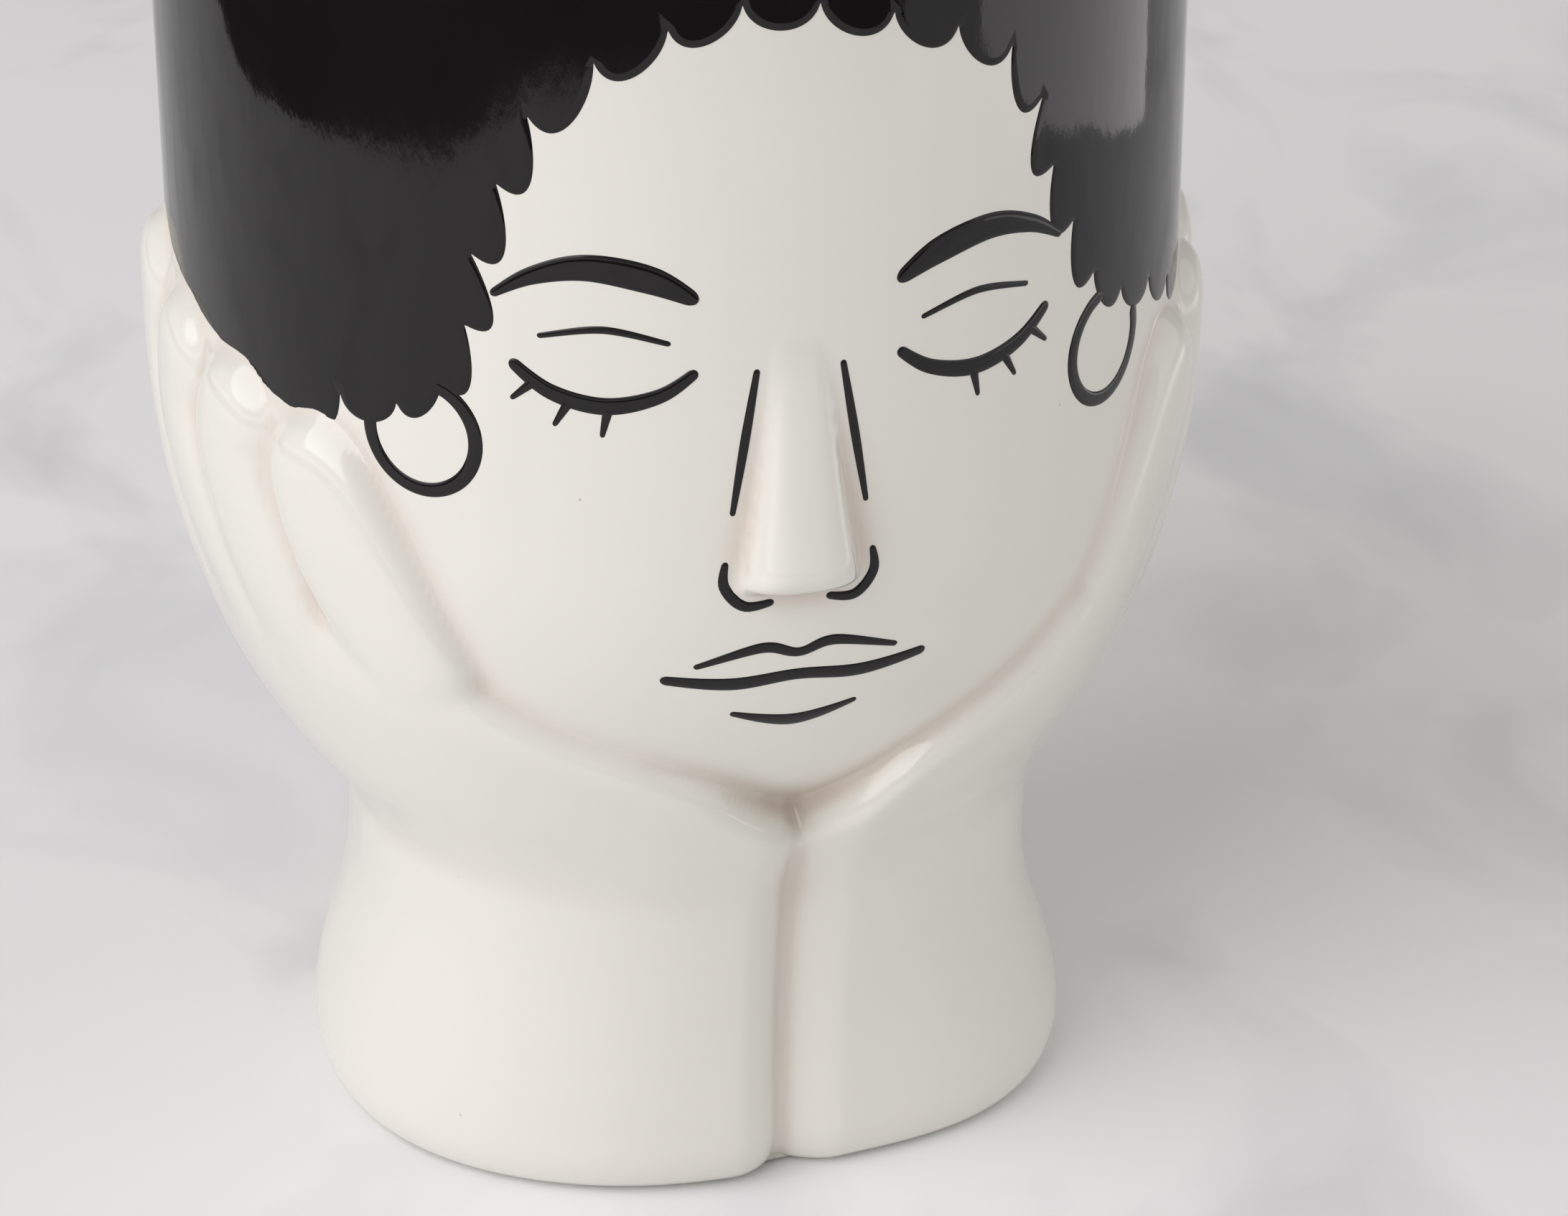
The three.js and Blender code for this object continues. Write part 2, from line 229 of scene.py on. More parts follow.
def wrist_radius(theta, z):
    """Radius of the wrists' rounded plan, before the foot's edge is rounded."""
    up = between(z, FOOT_EDGE_HEIGHT, WAIST_HEIGHT)
    flare = (0.5 + 0.5 * np.cos(np.pi * up)) ** FOOT_FLARE_POWER
    width = WAIST_HALF_WIDTH + (FOOT_HALF_WIDTH - WAIST_HALF_WIDTH) * flare
    lean = between(z, *WRIST_LEAN_HEIGHTS)
    depth = FOOT_HALF_DEPTH + (WRIST_HALF_DEPTH - FOOT_HALF_DEPTH) * lean**WRIST_LEAN_POWER
    across = np.abs(np.sin(np.radians(theta))) / width
    along = np.abs(np.cos(np.radians(theta))) / depth
    power = np.where(theta < 0, WRIST_SQUARENESS[-1], WRIST_SQUARENESS[1])
    return (across**power + along**power) ** (-1 / power)


def foot_inset(z):
    """How far the rounded edge at the ground draws the foot in."""
    down = between(z, FOOT_EDGE_HEIGHT, FOOT_BOTTOM)
    return FOOT_EDGE_INSET * (1 - np.sqrt(1 - down * down))


def seam_inset(theta, radius):
    """How far the wrists' rounded shoulders draw in towards their seam, which glaze has part filled."""
    width = np.where(theta < 0, SEAM_SHOULDERS[-1], SEAM_SHOULDERS[1])
    near = 1 - np.clip(np.abs(np.sin(np.radians(theta))) * radius / width, 0, 1)
    return np.minimum(SEAM_DEPTH * (1 - shoulder(near, SEAM_SHOULDER_POWER)), SEAM_FILL)


def seam_turn(theta, z):
    """Degrees by which the hands turn in front, so that their seam stands at SEAM_OFFSET."""
    radius = smooth_max(wrist_radius(0 * theta, z), cup_radius(z), PALM_BLEND) - SEAM_FILL
    up = between(z, *SEAM_OFFSET_FADE)
    fade = 1 - up * up * (3 - 2 * up)
    return np.degrees(np.arcsin(SEAM_OFFSET / radius)) * fade * bell(theta, SEAM_OFFSET_SPREAD)


def chain_share(chain, angle, z):
    """Distance from a line of (angle, height, width) points as a share of the width there, 1 at most."""
    share = np.ones(angle.shape)
    for start, end in zip(chain, chain[1:]):
        dx = np.radians(angle - start[0]) * CUP_RADIUS
        dz = z - HEAD_BOTTOM - start[1]
        length_x = math.radians(end[0] - start[0]) * CUP_RADIUS
        length_z = end[1] - start[1]
        along = np.clip((dx * length_x + dz * length_z) / (length_x**2 + length_z**2), 0, 1)
        distance = np.hypot(dx - along * length_x, dz - along * length_z)
        share = np.minimum(share, distance / (start[2] + along * (end[2] - start[2])))
    return share


def coverage(theta, z):
    """Share of the hand's full thickness, 1 inside the hand and 0 outside it."""
    angle = np.abs(theta)
    turned = angle - np.where(theta > 0, RIGHT_HAND_TURN, 0)
    share = np.zeros(angle.shape)
    for digit in DIGITS:
        share = np.maximum(share, shoulder(chain_share(smoothed(digit), turned, z), DIGIT_FLATNESS))
    web = chain_share(FINGER_WEB, turned, z)
    share = merged(share, FINGER_WEB_SHARE * np.sqrt(1 - web**DIGIT_FLATNESS))
    edge = smoothed(PALM_EDGE)
    height = HEAD_BOTTOM + np.interp(angle, [p[0] for p in edge], [p[1] for p in edge])
    inward = np.where(z < height, chain_share(edge, angle, z), 0)
    return np.minimum(merged(share, quarter_round(inward)), 1)


def nose_relief(theta, z):
    """Height of the nose above the face."""
    up = np.clip((z - NOSE_BOTTOM) / NOSE_HEIGHT, 0, 1)
    low_width, high_width = NOSE_HALF_WIDTH
    half_width = low_width + (high_width - low_width) * up**NOSE_TAPER_POWER
    across = np.minimum(np.abs(np.radians(theta)) * POT_RADIUS / half_width, 1)
    tip = quarter_round(np.minimum(up * NOSE_HEIGHT / NOSE_TIP_LENGTH, 1))
    ridge = NOSE_PROTRUSION * (1 - up) ** NOSE_SLOPE_POWER * tip
    return ridge * np.sqrt(1 - across**NOSE_SECTION_POWER)


# The outside on an even grid; a slight blur rounds every crease as glaze does
COLUMN_STEP = 0.375
ROW_STEP = 0.4
FIELD_TOP = 150.0
column_angles = np.arange(-180, 180, COLUMN_STEP)
row_heights = np.arange(0, FIELD_TOP + ROW_STEP / 2, ROW_STEP)
grid_theta, grid_z = np.meshgrid(column_angles, row_heights)
shown_theta = grid_theta + seam_turn(grid_theta, grid_z)

# Widths of the blurs, and where the crisp one is used
CRISP_BLUR = 0.55
SOFT_BLUR = 0.8
SEAM_CRISP_WIDTH = 5.0
SEAM_CRISP_TOP = HEAD_BOTTOM + 30
NOSE_ZONE = 12.0
NOSE_MARGIN = 3.0

# Glaze fills the corner where the two palms and the chin meet
CORNER_HEIGHT = HEAD_BOTTOM + 12.5
CORNER_REACH = 3.4
CORNER_POWER = 4
CORNER_BLUR = 1.3

# Glaze pools in hollows, and its colour there also paints shade into them: (reach, depth where it starts,
# depth more where it is full) for narrow and wide ones
POOLS_AND_SHADE = [(2.4, 0.12, 1.2), (4.5, 0.3, 2.4)]

# Along this stretch of the left palm's edge the glaze has run thinner, so its pooled colour and painted
# crease shade are lighter there
LESS_POOL_AND_SHADE_ANGLE = -23.0
LESS_POOL_AND_SHADE_SPREAD = 11.0
LESS_POOL_AND_SHADE = 0.6


def blurred(field, sigma):
    """Gaussian blur by sigma millimetres along the surface; the columns wrap round."""
    made = field
    for axis, step, mode in ((1, math.radians(COLUMN_STEP) * POT_RADIUS, "wrap"), (0, ROW_STEP, "edge")):
        reach = int(math.ceil(3 * sigma / step))
        offsets = np.arange(-reach, reach + 1)
        weights = np.exp(-((offsets * step / sigma) ** 2) / 2)
        weights /= weights.sum()
        pad = [(0, 0), (0, 0)]
        pad[axis] = (reach, reach)
        padded = np.pad(made, pad, mode=mode)
        places = np.arange(made.shape[axis])
        made = sum(weight * np.take(padded, places + k, axis=axis) for k, weight in enumerate(weights))
    return made


def pooling_and_shade(radius, reach, start, depth):
    """Share of pooled glaze and painted shade in hollows narrower than reach: none down to start, all at
    depth more.
    """
    return np.clip((blurred(radius, reach) - radius - start) / depth, 0, 1)


def in_nose_zone(theta, z):
    return (np.abs(theta) < NOSE_ZONE) & (z > NOSE_BOTTOM - NOSE_MARGIN)


def outside_field():
    """Radius of the whole glazed outside, and the share of pooled glaze and painted shade at each point."""
    head = head_radius(grid_z)
    from_heel = np.hypot(np.radians(np.abs(grid_theta) - HEEL_ANGLE) * CUP_RADIUS, grid_z - HEEL_HEIGHT)
    full = smooth_max(wrist_radius(grid_theta, grid_z), cup_radius(grid_z), PALM_BLEND)
    full = full + HEEL_BULGE * bell(from_heel, HEEL_SPREAD)
    palm = full - seam_inset(grid_theta, full)
    hands = head + np.maximum(palm - head, 0) * coverage(grid_theta, grid_z)
    raw = hands + nose_relief(shown_theta, grid_z)
    across = np.abs(np.sin(np.radians(grid_theta))) * raw
    near_seam = bell(across, SEAM_CRISP_WIDTH) * (grid_z < SEAM_CRISP_TOP)
    crisp = np.where(in_nose_zone(grid_theta, grid_z), 1, near_seam)
    bare = crisp * blurred(raw, CRISP_BLUR) + (1 - crisp) * blurred(raw, SOFT_BLUR)
    corner = bell(np.hypot(across, grid_z - CORNER_HEIGHT), CORNER_REACH, CORNER_POWER)
    radius = corner * blurred(raw, CORNER_BLUR) + (1 - corner) * bare
    # Pooled glaze, with painted shade, where the surface lies lower than round about it
    narrow_pool_and_shade, wide_pool_and_shade = (pooling_and_shade(bare, *pool_and_shade) for pool_and_shade in POOLS_AND_SHADE)
    pool_and_shade = 1 - (1 - narrow_pool_and_shade) * (1 - wide_pool_and_shade)
    pool_and_shade *= 1 - LESS_POOL_AND_SHADE * bell(grid_theta - LESS_POOL_AND_SHADE_ANGLE, LESS_POOL_AND_SHADE_SPREAD)
    return radius + unevenness(shown_theta, grid_z) - foot_inset(grid_z), pool_and_shade


outer_radius, pool_and_shade_share = outside_field()


def sampled(field, theta, z):
    """Bilinear value of the field at any angles and heights inside it."""
    x = (np.asarray(theta) + 180) / COLUMN_STEP
    y = np.clip(np.asarray(z) / ROW_STEP, 0, len(row_heights) - 1.001)
    i = np.floor(x).astype(int)
    j = np.floor(y).astype(int)
    fx, fy = x - i, y - j
    i, k = i % field.shape[1], (i + 1) % field.shape[1]
    low = field[j, i] * (1 - fx) + field[j, k] * fx
    high = field[j + 1, i] * (1 - fx) + field[j + 1, k] * fx
    return low * (1 - fy) + high * fy


def glazed_radius(theta, z):
    """Radius of the glazed outside at shown angles anywhere below the rim."""
    above = head_radius(z) + unevenness(theta, z)
    unturned = theta - seam_turn(theta - seam_turn(theta, z), z)
    return np.where(np.asarray(z) < FIELD_TOP - 1, sampled(outer_radius, unturned, z), above)


def polar(theta, radius, z):
    """Points in the row frame, in millimetres."""
    angle = np.radians(theta)
    return np.stack([radius * np.sin(angle), AXIS_Y - radius * np.cos(angle), z + 0 * radius], axis=-1)


def field_normals(points):
    around = np.roll(points, -1, axis=1) - np.roll(points, 1, axis=1)
    return unit(np.cross(around, np.gradient(points, axis=0)))


outer_points = polar(shown_theta, outer_radius, grid_z)
outer_normals = field_normals(outer_points)


# Meshes
def new_object(name, data):
    made = bpy.data.objects.new(name, data)
    bpy.context.scene.collection.objects.link(made)
    return made


def make_piece(name, points, faces, materials, normals=None, pool_and_shade=None, face_materials=None):
    """A closed mesh with outward faces, without the points that no face uses. normals gives a direction for
    each point, or zeros where Blender's is used; a face takes them only if all its corners have one."""
    used = sorted({v for face in faces for v in face})
    number = {v: n for n, v in enumerate(used)}
    mesh = bpy.data.meshes.new(name)
    places = np.asarray(points)[used] * MM
    mesh.from_pydata(places.tolist(), [], [[number[v] for v in face] for face in faces])
    if face_materials is not None:
        mesh.polygons.foreach_set("material_index", face_materials)
    mesh.polygons.foreach_set("use_smooth", [True] * len(mesh.polygons))
    mesh.update()
    # Share of pooled glaze and painted shade, which the cream glaze reads
    if pool_and_shade is not None:
        attribute = mesh.attributes.new("glaze_pool_and_shade", "FLOAT", "POINT")
        attribute.data.foreach_set("value", pool_and_shade[used].astype(np.float32))
    if normals is not None:
        give_normals(mesh, normals[used])
    for material in materials:
        mesh.materials.append(material)
    return new_object(name, mesh)


def read_numbers(items, name):
    numbers = np.empty(len(items), int)
    items.foreach_get(name, numbers)
    return numbers


def give_normals(mesh, normals):
    """Sets the shown surface's exact normals and a sharp edge where it meets the hidden faces."""
    has = np.linalg.norm(normals, axis=1) > 0.5
    corner_vertex = read_numbers(mesh.loops, "vertex_index")
    shown = np.logical_and.reduceat(has[corner_vertex], read_numbers(mesh.polygons, "loop_start"))
    corner_shown = np.repeat(shown, read_numbers(mesh.polygons, "loop_total"))
    count = np.zeros(len(mesh.edges), int)
    np.add.at(count, read_numbers(mesh.loops, "edge_index"), corner_shown.astype(int))
    mesh.edges.foreach_set("use_edge_sharp", count == 1)
    given = np.where(corner_shown[:, None], normals[corner_vertex], 0)
    mesh.normals_split_custom_set(given.tolist())


# Columns lie closer at the seams and on the fingers, and rows where the palms meet under the chin
SEAM_ZONE = 6.0
FINGER_ZONE = (71.0, 132.0)
from_face = np.abs(column_angles)
fine = (from_face < SEAM_ZONE) | (from_face > 180 - SEAM_ZONE)
fine |= (from_face > FINGER_ZONE[0]) & (from_face < FINGER_ZONE[1])
columns = [k for k in range(len(column_angles)) if k % 2 == 0 or fine[k]]

HIDDEN_BOTTOM = HEAD_BOTTOM + 2.8
CORNER_ZONE = (HEAD_BOTTOM + 9, HEAD_BOTTOM + 19)
FINGERS_TOP = HEAD_BOTTOM + 89
FOOT_EDGE_TOP = 8.4
WRIST_MIDDLE = 50.0


def rows_between(low, high, step):
    """Numbers of every row, or of every second, third or fourth one, from one height up to another."""
    return [k for k in range(math.ceil(low / ROW_STEP), math.ceil(high / ROW_STEP)) if k % step == 0]


def palm_rows():
    """Rows from under the chin to the fingertips, which the head and the hands share."""
    return rows_between(*CORNER_ZONE, 1) + rows_between(CORNER_ZONE[1], FINGERS_TOP, 2)


def head_rows():
    hidden = rows_between(HIDDEN_BOTTOM, CORNER_ZONE[0], 4)
    return hidden + palm_rows() + rows_between(FINGERS_TOP, FIELD_TOP, 4)


def hand_rows():
    """Rows of the hands, closest at the ground, where the foot's edge turns in."""
    edge = [k for k in rows_between(ROW_STEP, FOOT_EDGE_TOP, 1) if k % 2 == 1 or k < 4]
    wrist = rows_between(FOOT_EDGE_TOP, WRIST_MIDDLE, 3) + rows_between(WRIST_MIDDLE, CORNER_ZONE[0], 2)
    return edge + wrist + palm_rows()


def closed_round(layer):
    """The same grid with its first column again at the end."""
    return np.concatenate([layer, layer[:, :1]], axis=1)


# Each cell of the grid belongs to a hand, to the nose or to the head, and each piece shows its own cells of
# the one glazed surface. A hand or the nose starts where the surface stands this far above the head.
RAISED = 0.25

# How far the hidden sides lie under the head's surface
HEAD_SINK = 0.8
PIECE_SINK = 0.4


def without_diagonals(shown):
    """Fills the corners where shown cells touch only diagonally, so that the mesh stays a closed surface."""
    while True:
        a, b = shown[:-1, :-1], shown[:-1, 1:]
        c, d = shown[1:, :-1], shown[1:, 1:]
        crossing = (a & d & ~b & ~c) | (b & c & ~a & ~d)
        if not crossing.any():
            return shown
        height, width = crossing.shape
        for row, column in ((0, 0), (0, 1), (1, 0), (1, 1)):
            shown[row : row + height, column : column + width] |= crossing


def cell_masks(rows):
    """For each cell between the rows and columns: is it the hands', and is it the nose's."""
    part = np.ix_(rows, columns)
    z = grid_z[part]
    wave = unevenness(shown_theta[part], z)
    raised = outer_radius[part] + foot_inset(z) - head_radius(z) - wave > RAISED
    nose_zone = in_nose_zone(grid_theta[part], z)

    def any_corner(mask):
        wide = closed_round(mask)
        return wide[:-1, :-1] | wide[1:, :-1] | wide[:-1, 1:] | wide[1:, 1:]

    hands = any_corner(raised & ~nose_zone)
    nose = any_corner(raised & nose_zone)
    return without_diagonals(hands), without_diagonals(nose)


def layers(rows, cols, inner_radius):
    """Points of the shown surface, then as many hidden ones at inner_radius. Normals and the share of pooled
    glaze and painted shade go with them, zeros for the hidden points."""
    part = np.ix_(rows, cols)
    z = grid_z[part]
    shown = outer_points[part].reshape(-1, 3)
    hidden = polar(shown_theta[part], inner_radius(z), z).reshape(-1, 3)
    points = np.concatenate([shown, hidden])
    normals = np.zeros_like(points)
    normals[: len(shown)] = outer_normals[part].reshape(-1, 3)
    pool_and_shade = np.zeros(len(points))
    pool_and_shade[: len(shown)] = pool_and_shade_share[part].ravel()
    return points, normals, pool_and_shade


def layered_faces(shown, front, back):
    """Quads over a grid that runs all round the pot. Shown cells lie in the front layer and the others in the
    back layer, and walls join the two layers round the shown region."""
    faces = []
    rows, width = shown.shape

    def wall(p, q, lit):
        """Quad between the layers from p to q; lit is True where the shown cell lies on the left."""
        a, b = (q, p) if lit else (p, q)
        faces.append((front[a], front[b], back[b], back[a]))

    for i in range(rows):
        for j in range(width):
            layer = front if shown[i, j] else back
            faces.append((layer[i, j], layer[i, j + 1], layer[i + 1, j + 1], layer[i + 1, j]))
    for i in range(rows - 1):
        for j in range(width):
            if shown[i, j] != shown[i + 1, j]:
                wall((i + 1, j), (i + 1, j + 1), shown[i + 1, j])
    for i in range(rows):
        for j in range(width):
            if shown[i, j] != shown[i, (j + 1) % width]:
                wall((i, j + 1), (i + 1, j + 1), shown[i, j])
    return faces


# Rings of the rim, the inside, the hole and the underside have no such detail: they use every fourth column.
# RING_GAP keeps them off the grid's top and the jaw, and the lip's two gaps keep them off its rounding.
RING_COLUMNS = 4
RING_GAP = 4
OUTER_RING_STEP = 6
OUTER_LIP_GAP = 1
INNER_RING_STEP = 9
INNER_LIP_GAP = 8
LIP_RINGS = 13
JAW_RINGS = 22
HOLE_RINGS = 4
JAW_END_RADIUS = DRAIN_RADIUS * 3
FLAT_RADIUS = DRAIN_RADIUS * 2.4
FLAT_RISE = 0.1
HOLE_EDGE_RADIUS = DRAIN_RADIUS * 1.7
UNDERSIDE_RISES = (0, 0.3, 0.9, 1.8)


def pot_profile():
    """The pot's section as (radius, height) points: from the top of the field over the rim, down the inside,
    through the hole and out under the jaw."""
    outside_heights = np.arange(FIELD_TOP + RING_GAP, LIP_START - OUTER_LIP_GAP, OUTER_RING_STEP)
    inside_heights = np.arange(LIP_START - INNER_LIP_GAP, JAW_TOP + RING_GAP, -INNER_RING_STEP)
    inside_radius = POT_RADIUS - POT_WALL
    profile = [(POT_RADIUS, height) for height in outside_heights]
    for turn in np.linspace(0, math.pi, LIP_RINGS):
        radius = POT_RADIUS - LIP_RADIUS + LIP_RADIUS * math.cos(turn)
        profile.append((radius, LIP_START + LIP_RADIUS * math.sin(turn)))
    profile += [(inside_radius, height) for height in inside_heights]
    for turn in np.linspace(0, 1, JAW_RINGS)[1:-1]:
        down = math.sin(turn * math.pi / 2)
        radius = inside_radius * shoulder(down, JAW_POWER)
        if radius > JAW_END_RADIUS:
            profile.append((radius, JAW_TOP - (JAW_TOP - FLOOR_HEIGHT) * down))
    profile += [(FLAT_RADIUS, FLOOR_HEIGHT + FLAT_RISE), (HOLE_EDGE_RADIUS, FLOOR_HEIGHT)]
    turns = np.linspace(0, math.pi / 2, HOLE_RINGS)
    for turn in turns:
        radius = DRAIN_RADIUS + DRAIN_ROUNDING * (1 - math.sin(turn))
        profile.append((radius, FLOOR_HEIGHT - DRAIN_ROUNDING * (1 - math.cos(turn))))
    for turn in turns:
        radius = DRAIN_RADIUS + DRAIN_ROUNDING * (1 - math.cos(turn))
        profile.append((radius, HEAD_BOTTOM + DRAIN_ROUNDING * (1 - math.sin(turn))))
    for rise in UNDERSIDE_RISES:
        radius = max(float(head_radius(HEAD_BOTTOM + rise)) - HEAD_SINK, FLAT_RADIUS)
        profile.append((radius, HEAD_BOTTOM + rise))
    return profile


def joined_by_rings(first_row, rings, last_row, places):
    """Faces from a row of all columns over rings of only the columns in places, and back to such a row."""
    faces = []
    count = len(places)
    for n in range(count):
        after = (n + 1) % count
        end = places[after] or len(first_row)
        for row, ring, turned in ((first_row, rings[0], False), (last_row, rings[-1], True)):
            edge = [row[j % len(row)] for j in range(places[n], end + 1)]
            face = (*edge, ring[after], ring[n])
            faces.append(face[::-1] if turned else face)
        for low, high in zip(rings, rings[1:]):
            faces.append((low[n], low[after], high[after], high[n]))
    return faces


def head_piece(cream):
    """The pot: its shown outside, the part hidden under the hands, the rim, the bowl inside and the hole."""
    rows = head_rows()
    hands, nose = cell_masks(rows)
    points, normals, pool_and_shade = layers(rows, columns, lambda z: head_radius(z) - HEAD_SINK)
    front, back = np.arange(len(points)).reshape(2, len(rows), len(columns))
    normals[front[-1]] = 0
    places = [j for j, k in enumerate(columns) if k % RING_COLUMNS == 0]
    theta = column_angles[columns][places]
    rings = []
    for radius, height in pot_profile():
        turned = theta + seam_turn(theta, height)
        outside = radius > POT_RADIUS - POT_WALL and height > FIELD_TOP
        wave = unevenness(turned, height) if outside else 0
        rings.append(polar(turned, radius + wave + 0 * theta, height))
    added = len(rings) * len(places)
    ring_numbers = len(points) + np.arange(added).reshape(len(rings), len(places))
    faces = layered_faces(~(hands | nose), closed_round(front), closed_round(back))
    faces += joined_by_rings(front[-1], ring_numbers, back[0], places)
    points = np.concatenate([points, *rings])
    normals = np.concatenate([normals, np.zeros((added, 3))])
    pool_and_shade = np.concatenate([pool_and_shade, np.zeros(added)])
    return make_piece("head_pot", points, faces, [cream], normals, pool_and_shade)


def patch_piece(name, rows, cols, mask, inner_radius, materials):
    """A closed piece of the glazed surface: the mask's cells between cols outside, and the same cells at
    inner_radius inside. The wall under its lowest row takes the second material, if there is one."""
    points, normals, pool_and_shade = layers(rows, cols, inner_radius)
    front, back = np.arange(len(points)).reshape(2, len(rows), len(cols))
    shown = mask[:, [columns.index(k) for k in cols[:-1]]]
    padded = np.pad(shown, 1)
    faces = []
    foot = []
    for i, j in zip(*np.nonzero(shown)):
        a, b, c, d = (i, j), (i, j + 1), (i + 1, j + 1), (i + 1, j)
        faces.append((front[a], front[b], front[c], front[d]))
        faces.append((back[d], back[c], back[b], back[a]))
        for dy, dx, p, q in ((-1, 0, a, b), (0, 1, b, c), (1, 0, c, d), (0, -1, d, a)):
            if not padded[i + 1 + dy, j + 1 + dx]:
                if i + dy < 0:
                    foot.append(len(faces))
                faces.append((front[q], front[p], back[p], back[q]))
    face_materials = np.zeros(len(faces), int)
    face_materials[foot] = len(materials) - 1
    return make_piece(name, points, faces, materials, normals, pool_and_shade, face_materials)


def hand_inside(z):
    return np.maximum(HOLLOW_RADIUS, head_radius(z) - PIECE_SINK)


def hand_piece(name, side, cream, bisque):
    rows = hand_rows()
    cols = [k for k in columns if side * column_angles[k] >= 0]
    if side > 0:
        cols.append(columns[0])
    return patch_piece(name, rows, cols, cell_masks(rows)[0], hand_inside, [cream, bisque])


def nose_piece(cream):
    rows = [k for k in head_rows() if row_heights[k] > NOSE_BOTTOM - NOSE_MARGIN]
    cols = [k for k in columns if abs(column_angles[k]) < NOSE_ZONE]
    nose = cell_masks(rows)[1]
    return patch_piece("nose_relief", rows, cols, nose, lambda z: head_radius(z) - PIECE_SINK, [cream])


# Painting: black glaze laid on thickly, so each shape is a thin body with rounded shoulders.
# Its places are (millimetres along the pot's side from the face, height); its paint ends on the rim's top.
PAINT_SEAT = 0.15
PAINT_SHOULDER = 1.1
PAINT_STEEPEST = 3.0
PAINT_TOP = LIP_START + LIP_RADIUS * math.pi / 2
HALF_ROUND = math.pi * POT_RADIUS

# Steps between the hair's points: along its locks and its rim, over its side and over the lip
OUTLINE_STEP = 0.5
RIM_STEP = 1.5
FILL_STEP = 2.4
FILL_RISE = FILL_STEP * 0.87
LIP_STEP = 0.55
LIP_ROWS = np.arange(LIP_START - LIP_STEP, PAINT_TOP - LIP_STEP / 2, LIP_STEP)

# Rings of points lie this far inside the painted edges. A point is left out if any edge is closer than
# RING_SHARE of that, or if the cut at the back is closer than CUT_CLEARANCE.
SHOULDER_RINGS = (0.08, 0.25, 0.55, PAINT_SHOULDER)
RING_SHARE = 0.93
CUT_CLEARANCE = 0.3
LIP_CLEARANCE = 1
NEAR = 1e-3

# The hair's lower edge as (angle, height), from the back round by the left: a point at each notch between
# two locks
HAIR_NOTCHES = [
    (-180, 101), (-170.5, 99), (-160, 99.5), (-150.5, 98.5), (-141, 101), (-132, 104), (-123, 108),
    (-113.5, 112), (-104, 115), (-94.5, 117), (-85, 118), (-76, 120), (-67, 123), (-59.5, 124.5),
    (-51.5, 132), (-44, 133), (-38.5, 137), (-35.5, 146), (-34.5, 156), (-31.5, 166), (-28, 175.5),
    (-21, 183), (-13.5, 187.5), (-6, 190.5), (2, 190), (10, 187.5), (17.5, 184), (24.5, 179.5),
    (29, 171), (31, 161), (34.5, 152), (38.5, 143), (44.5, 138), (52, 136), (59.5, 132.5), (67, 126),
    (76, 121), (85, 118.5), (94.5, 117), (104, 115.5), (113.5, 112), (123, 108.5), (132, 104),
    (141, 101), (150.5, 98), (160, 99.5), (170.5, 98), (180, 101),
]
LOCK_BULGE = 0.42
LOCK_POINTS = 60

# A lock's curve leaves its ends by these shares of its chord and of its bulge, and by so much more or less
# where it droops
LOCK_HANDLE = (0.1, 1.15)
LOCK_DROOP = (0.3, 0.5)


def locks(notches):
    """Rounded locks of hair between notches, which hang over towards their lower end."""
    places = [np.array([math.radians(angle) * POT_RADIUS, height]) for angle, height in notches]
    along, out = LOCK_HANDLE
    more_along, more_out = LOCK_DROOP
    made = []
    for start, end in zip(places, places[1:]):
        chord = end - start
        outward = np.array([chord[1], -chord[0]]) * LOCK_BULGE
        droop = np.clip(-chord[1] / np.linalg.norm(chord), -1, 1)
        first = start + (along + more_along * droop) * chord + (out - more_out * droop) * outward
        second = end - (along - more_along * droop) * chord + (out + more_out * droop) * outward
        made.append(bezier((start, first, second, end), LOCK_POINTS))
    return evenly(np.concatenate([*made, places[-1][None]]), OUTLINE_STEP)


def shoulder_height(distance, width):
    """Thickness of the paint at a distance from its edge, and its slope there."""
    inward = np.clip(distance / width, 0, 1)
    height = PAINT_THICKNESS * quarter_round(inward)
    slope = PAINT_THICKNESS**2 * (1 - inward) / (width * np.maximum(height, TINY))
    return height, np.minimum(slope, PAINT_STEEPEST)


def nearest_of(points, shore):
    """For each point its nearest shore point's number and the distance, across the back as well."""
    number = np.zeros(len(points), int)
    distance = np.full(len(points), np.inf)
    batch = 1000
    for shift in (-2 * HALF_ROUND, 0, 2 * HALF_ROUND):
        moved = shore + np.array([shift, 0])
        for start in range(0, len(points), batch):
            part = slice(start, start + batch)
            gaps = np.linalg.norm(points[part, None] - moved[None], axis=-1)
            index = gaps.argmin(axis=1)
            least = gaps[np.arange(len(index)), index]
            nearer = least < distance[part]
            number[part] = np.where(nearer, index, number[part])
            distance[part] = np.where(nearer, least, distance[part])
    return number, distance


def inside_outline(points, outline):
    """Even-odd test of points against a closed outline."""
    inside = np.zeros(len(points), bool)
    for a, b in zip(outline, np.roll(outline, -1, axis=0)):
        if a[1] != b[1]:
            crosses = (points[:, 1] > min(a[1], b[1])) & (points[:, 1] <= max(a[1], b[1]))
            at = a[0] + (points[:, 1] - a[1]) * (b[0] - a[0]) / (b[1] - a[1])
            inside ^= crosses & (points[:, 0] < at)
    return inside


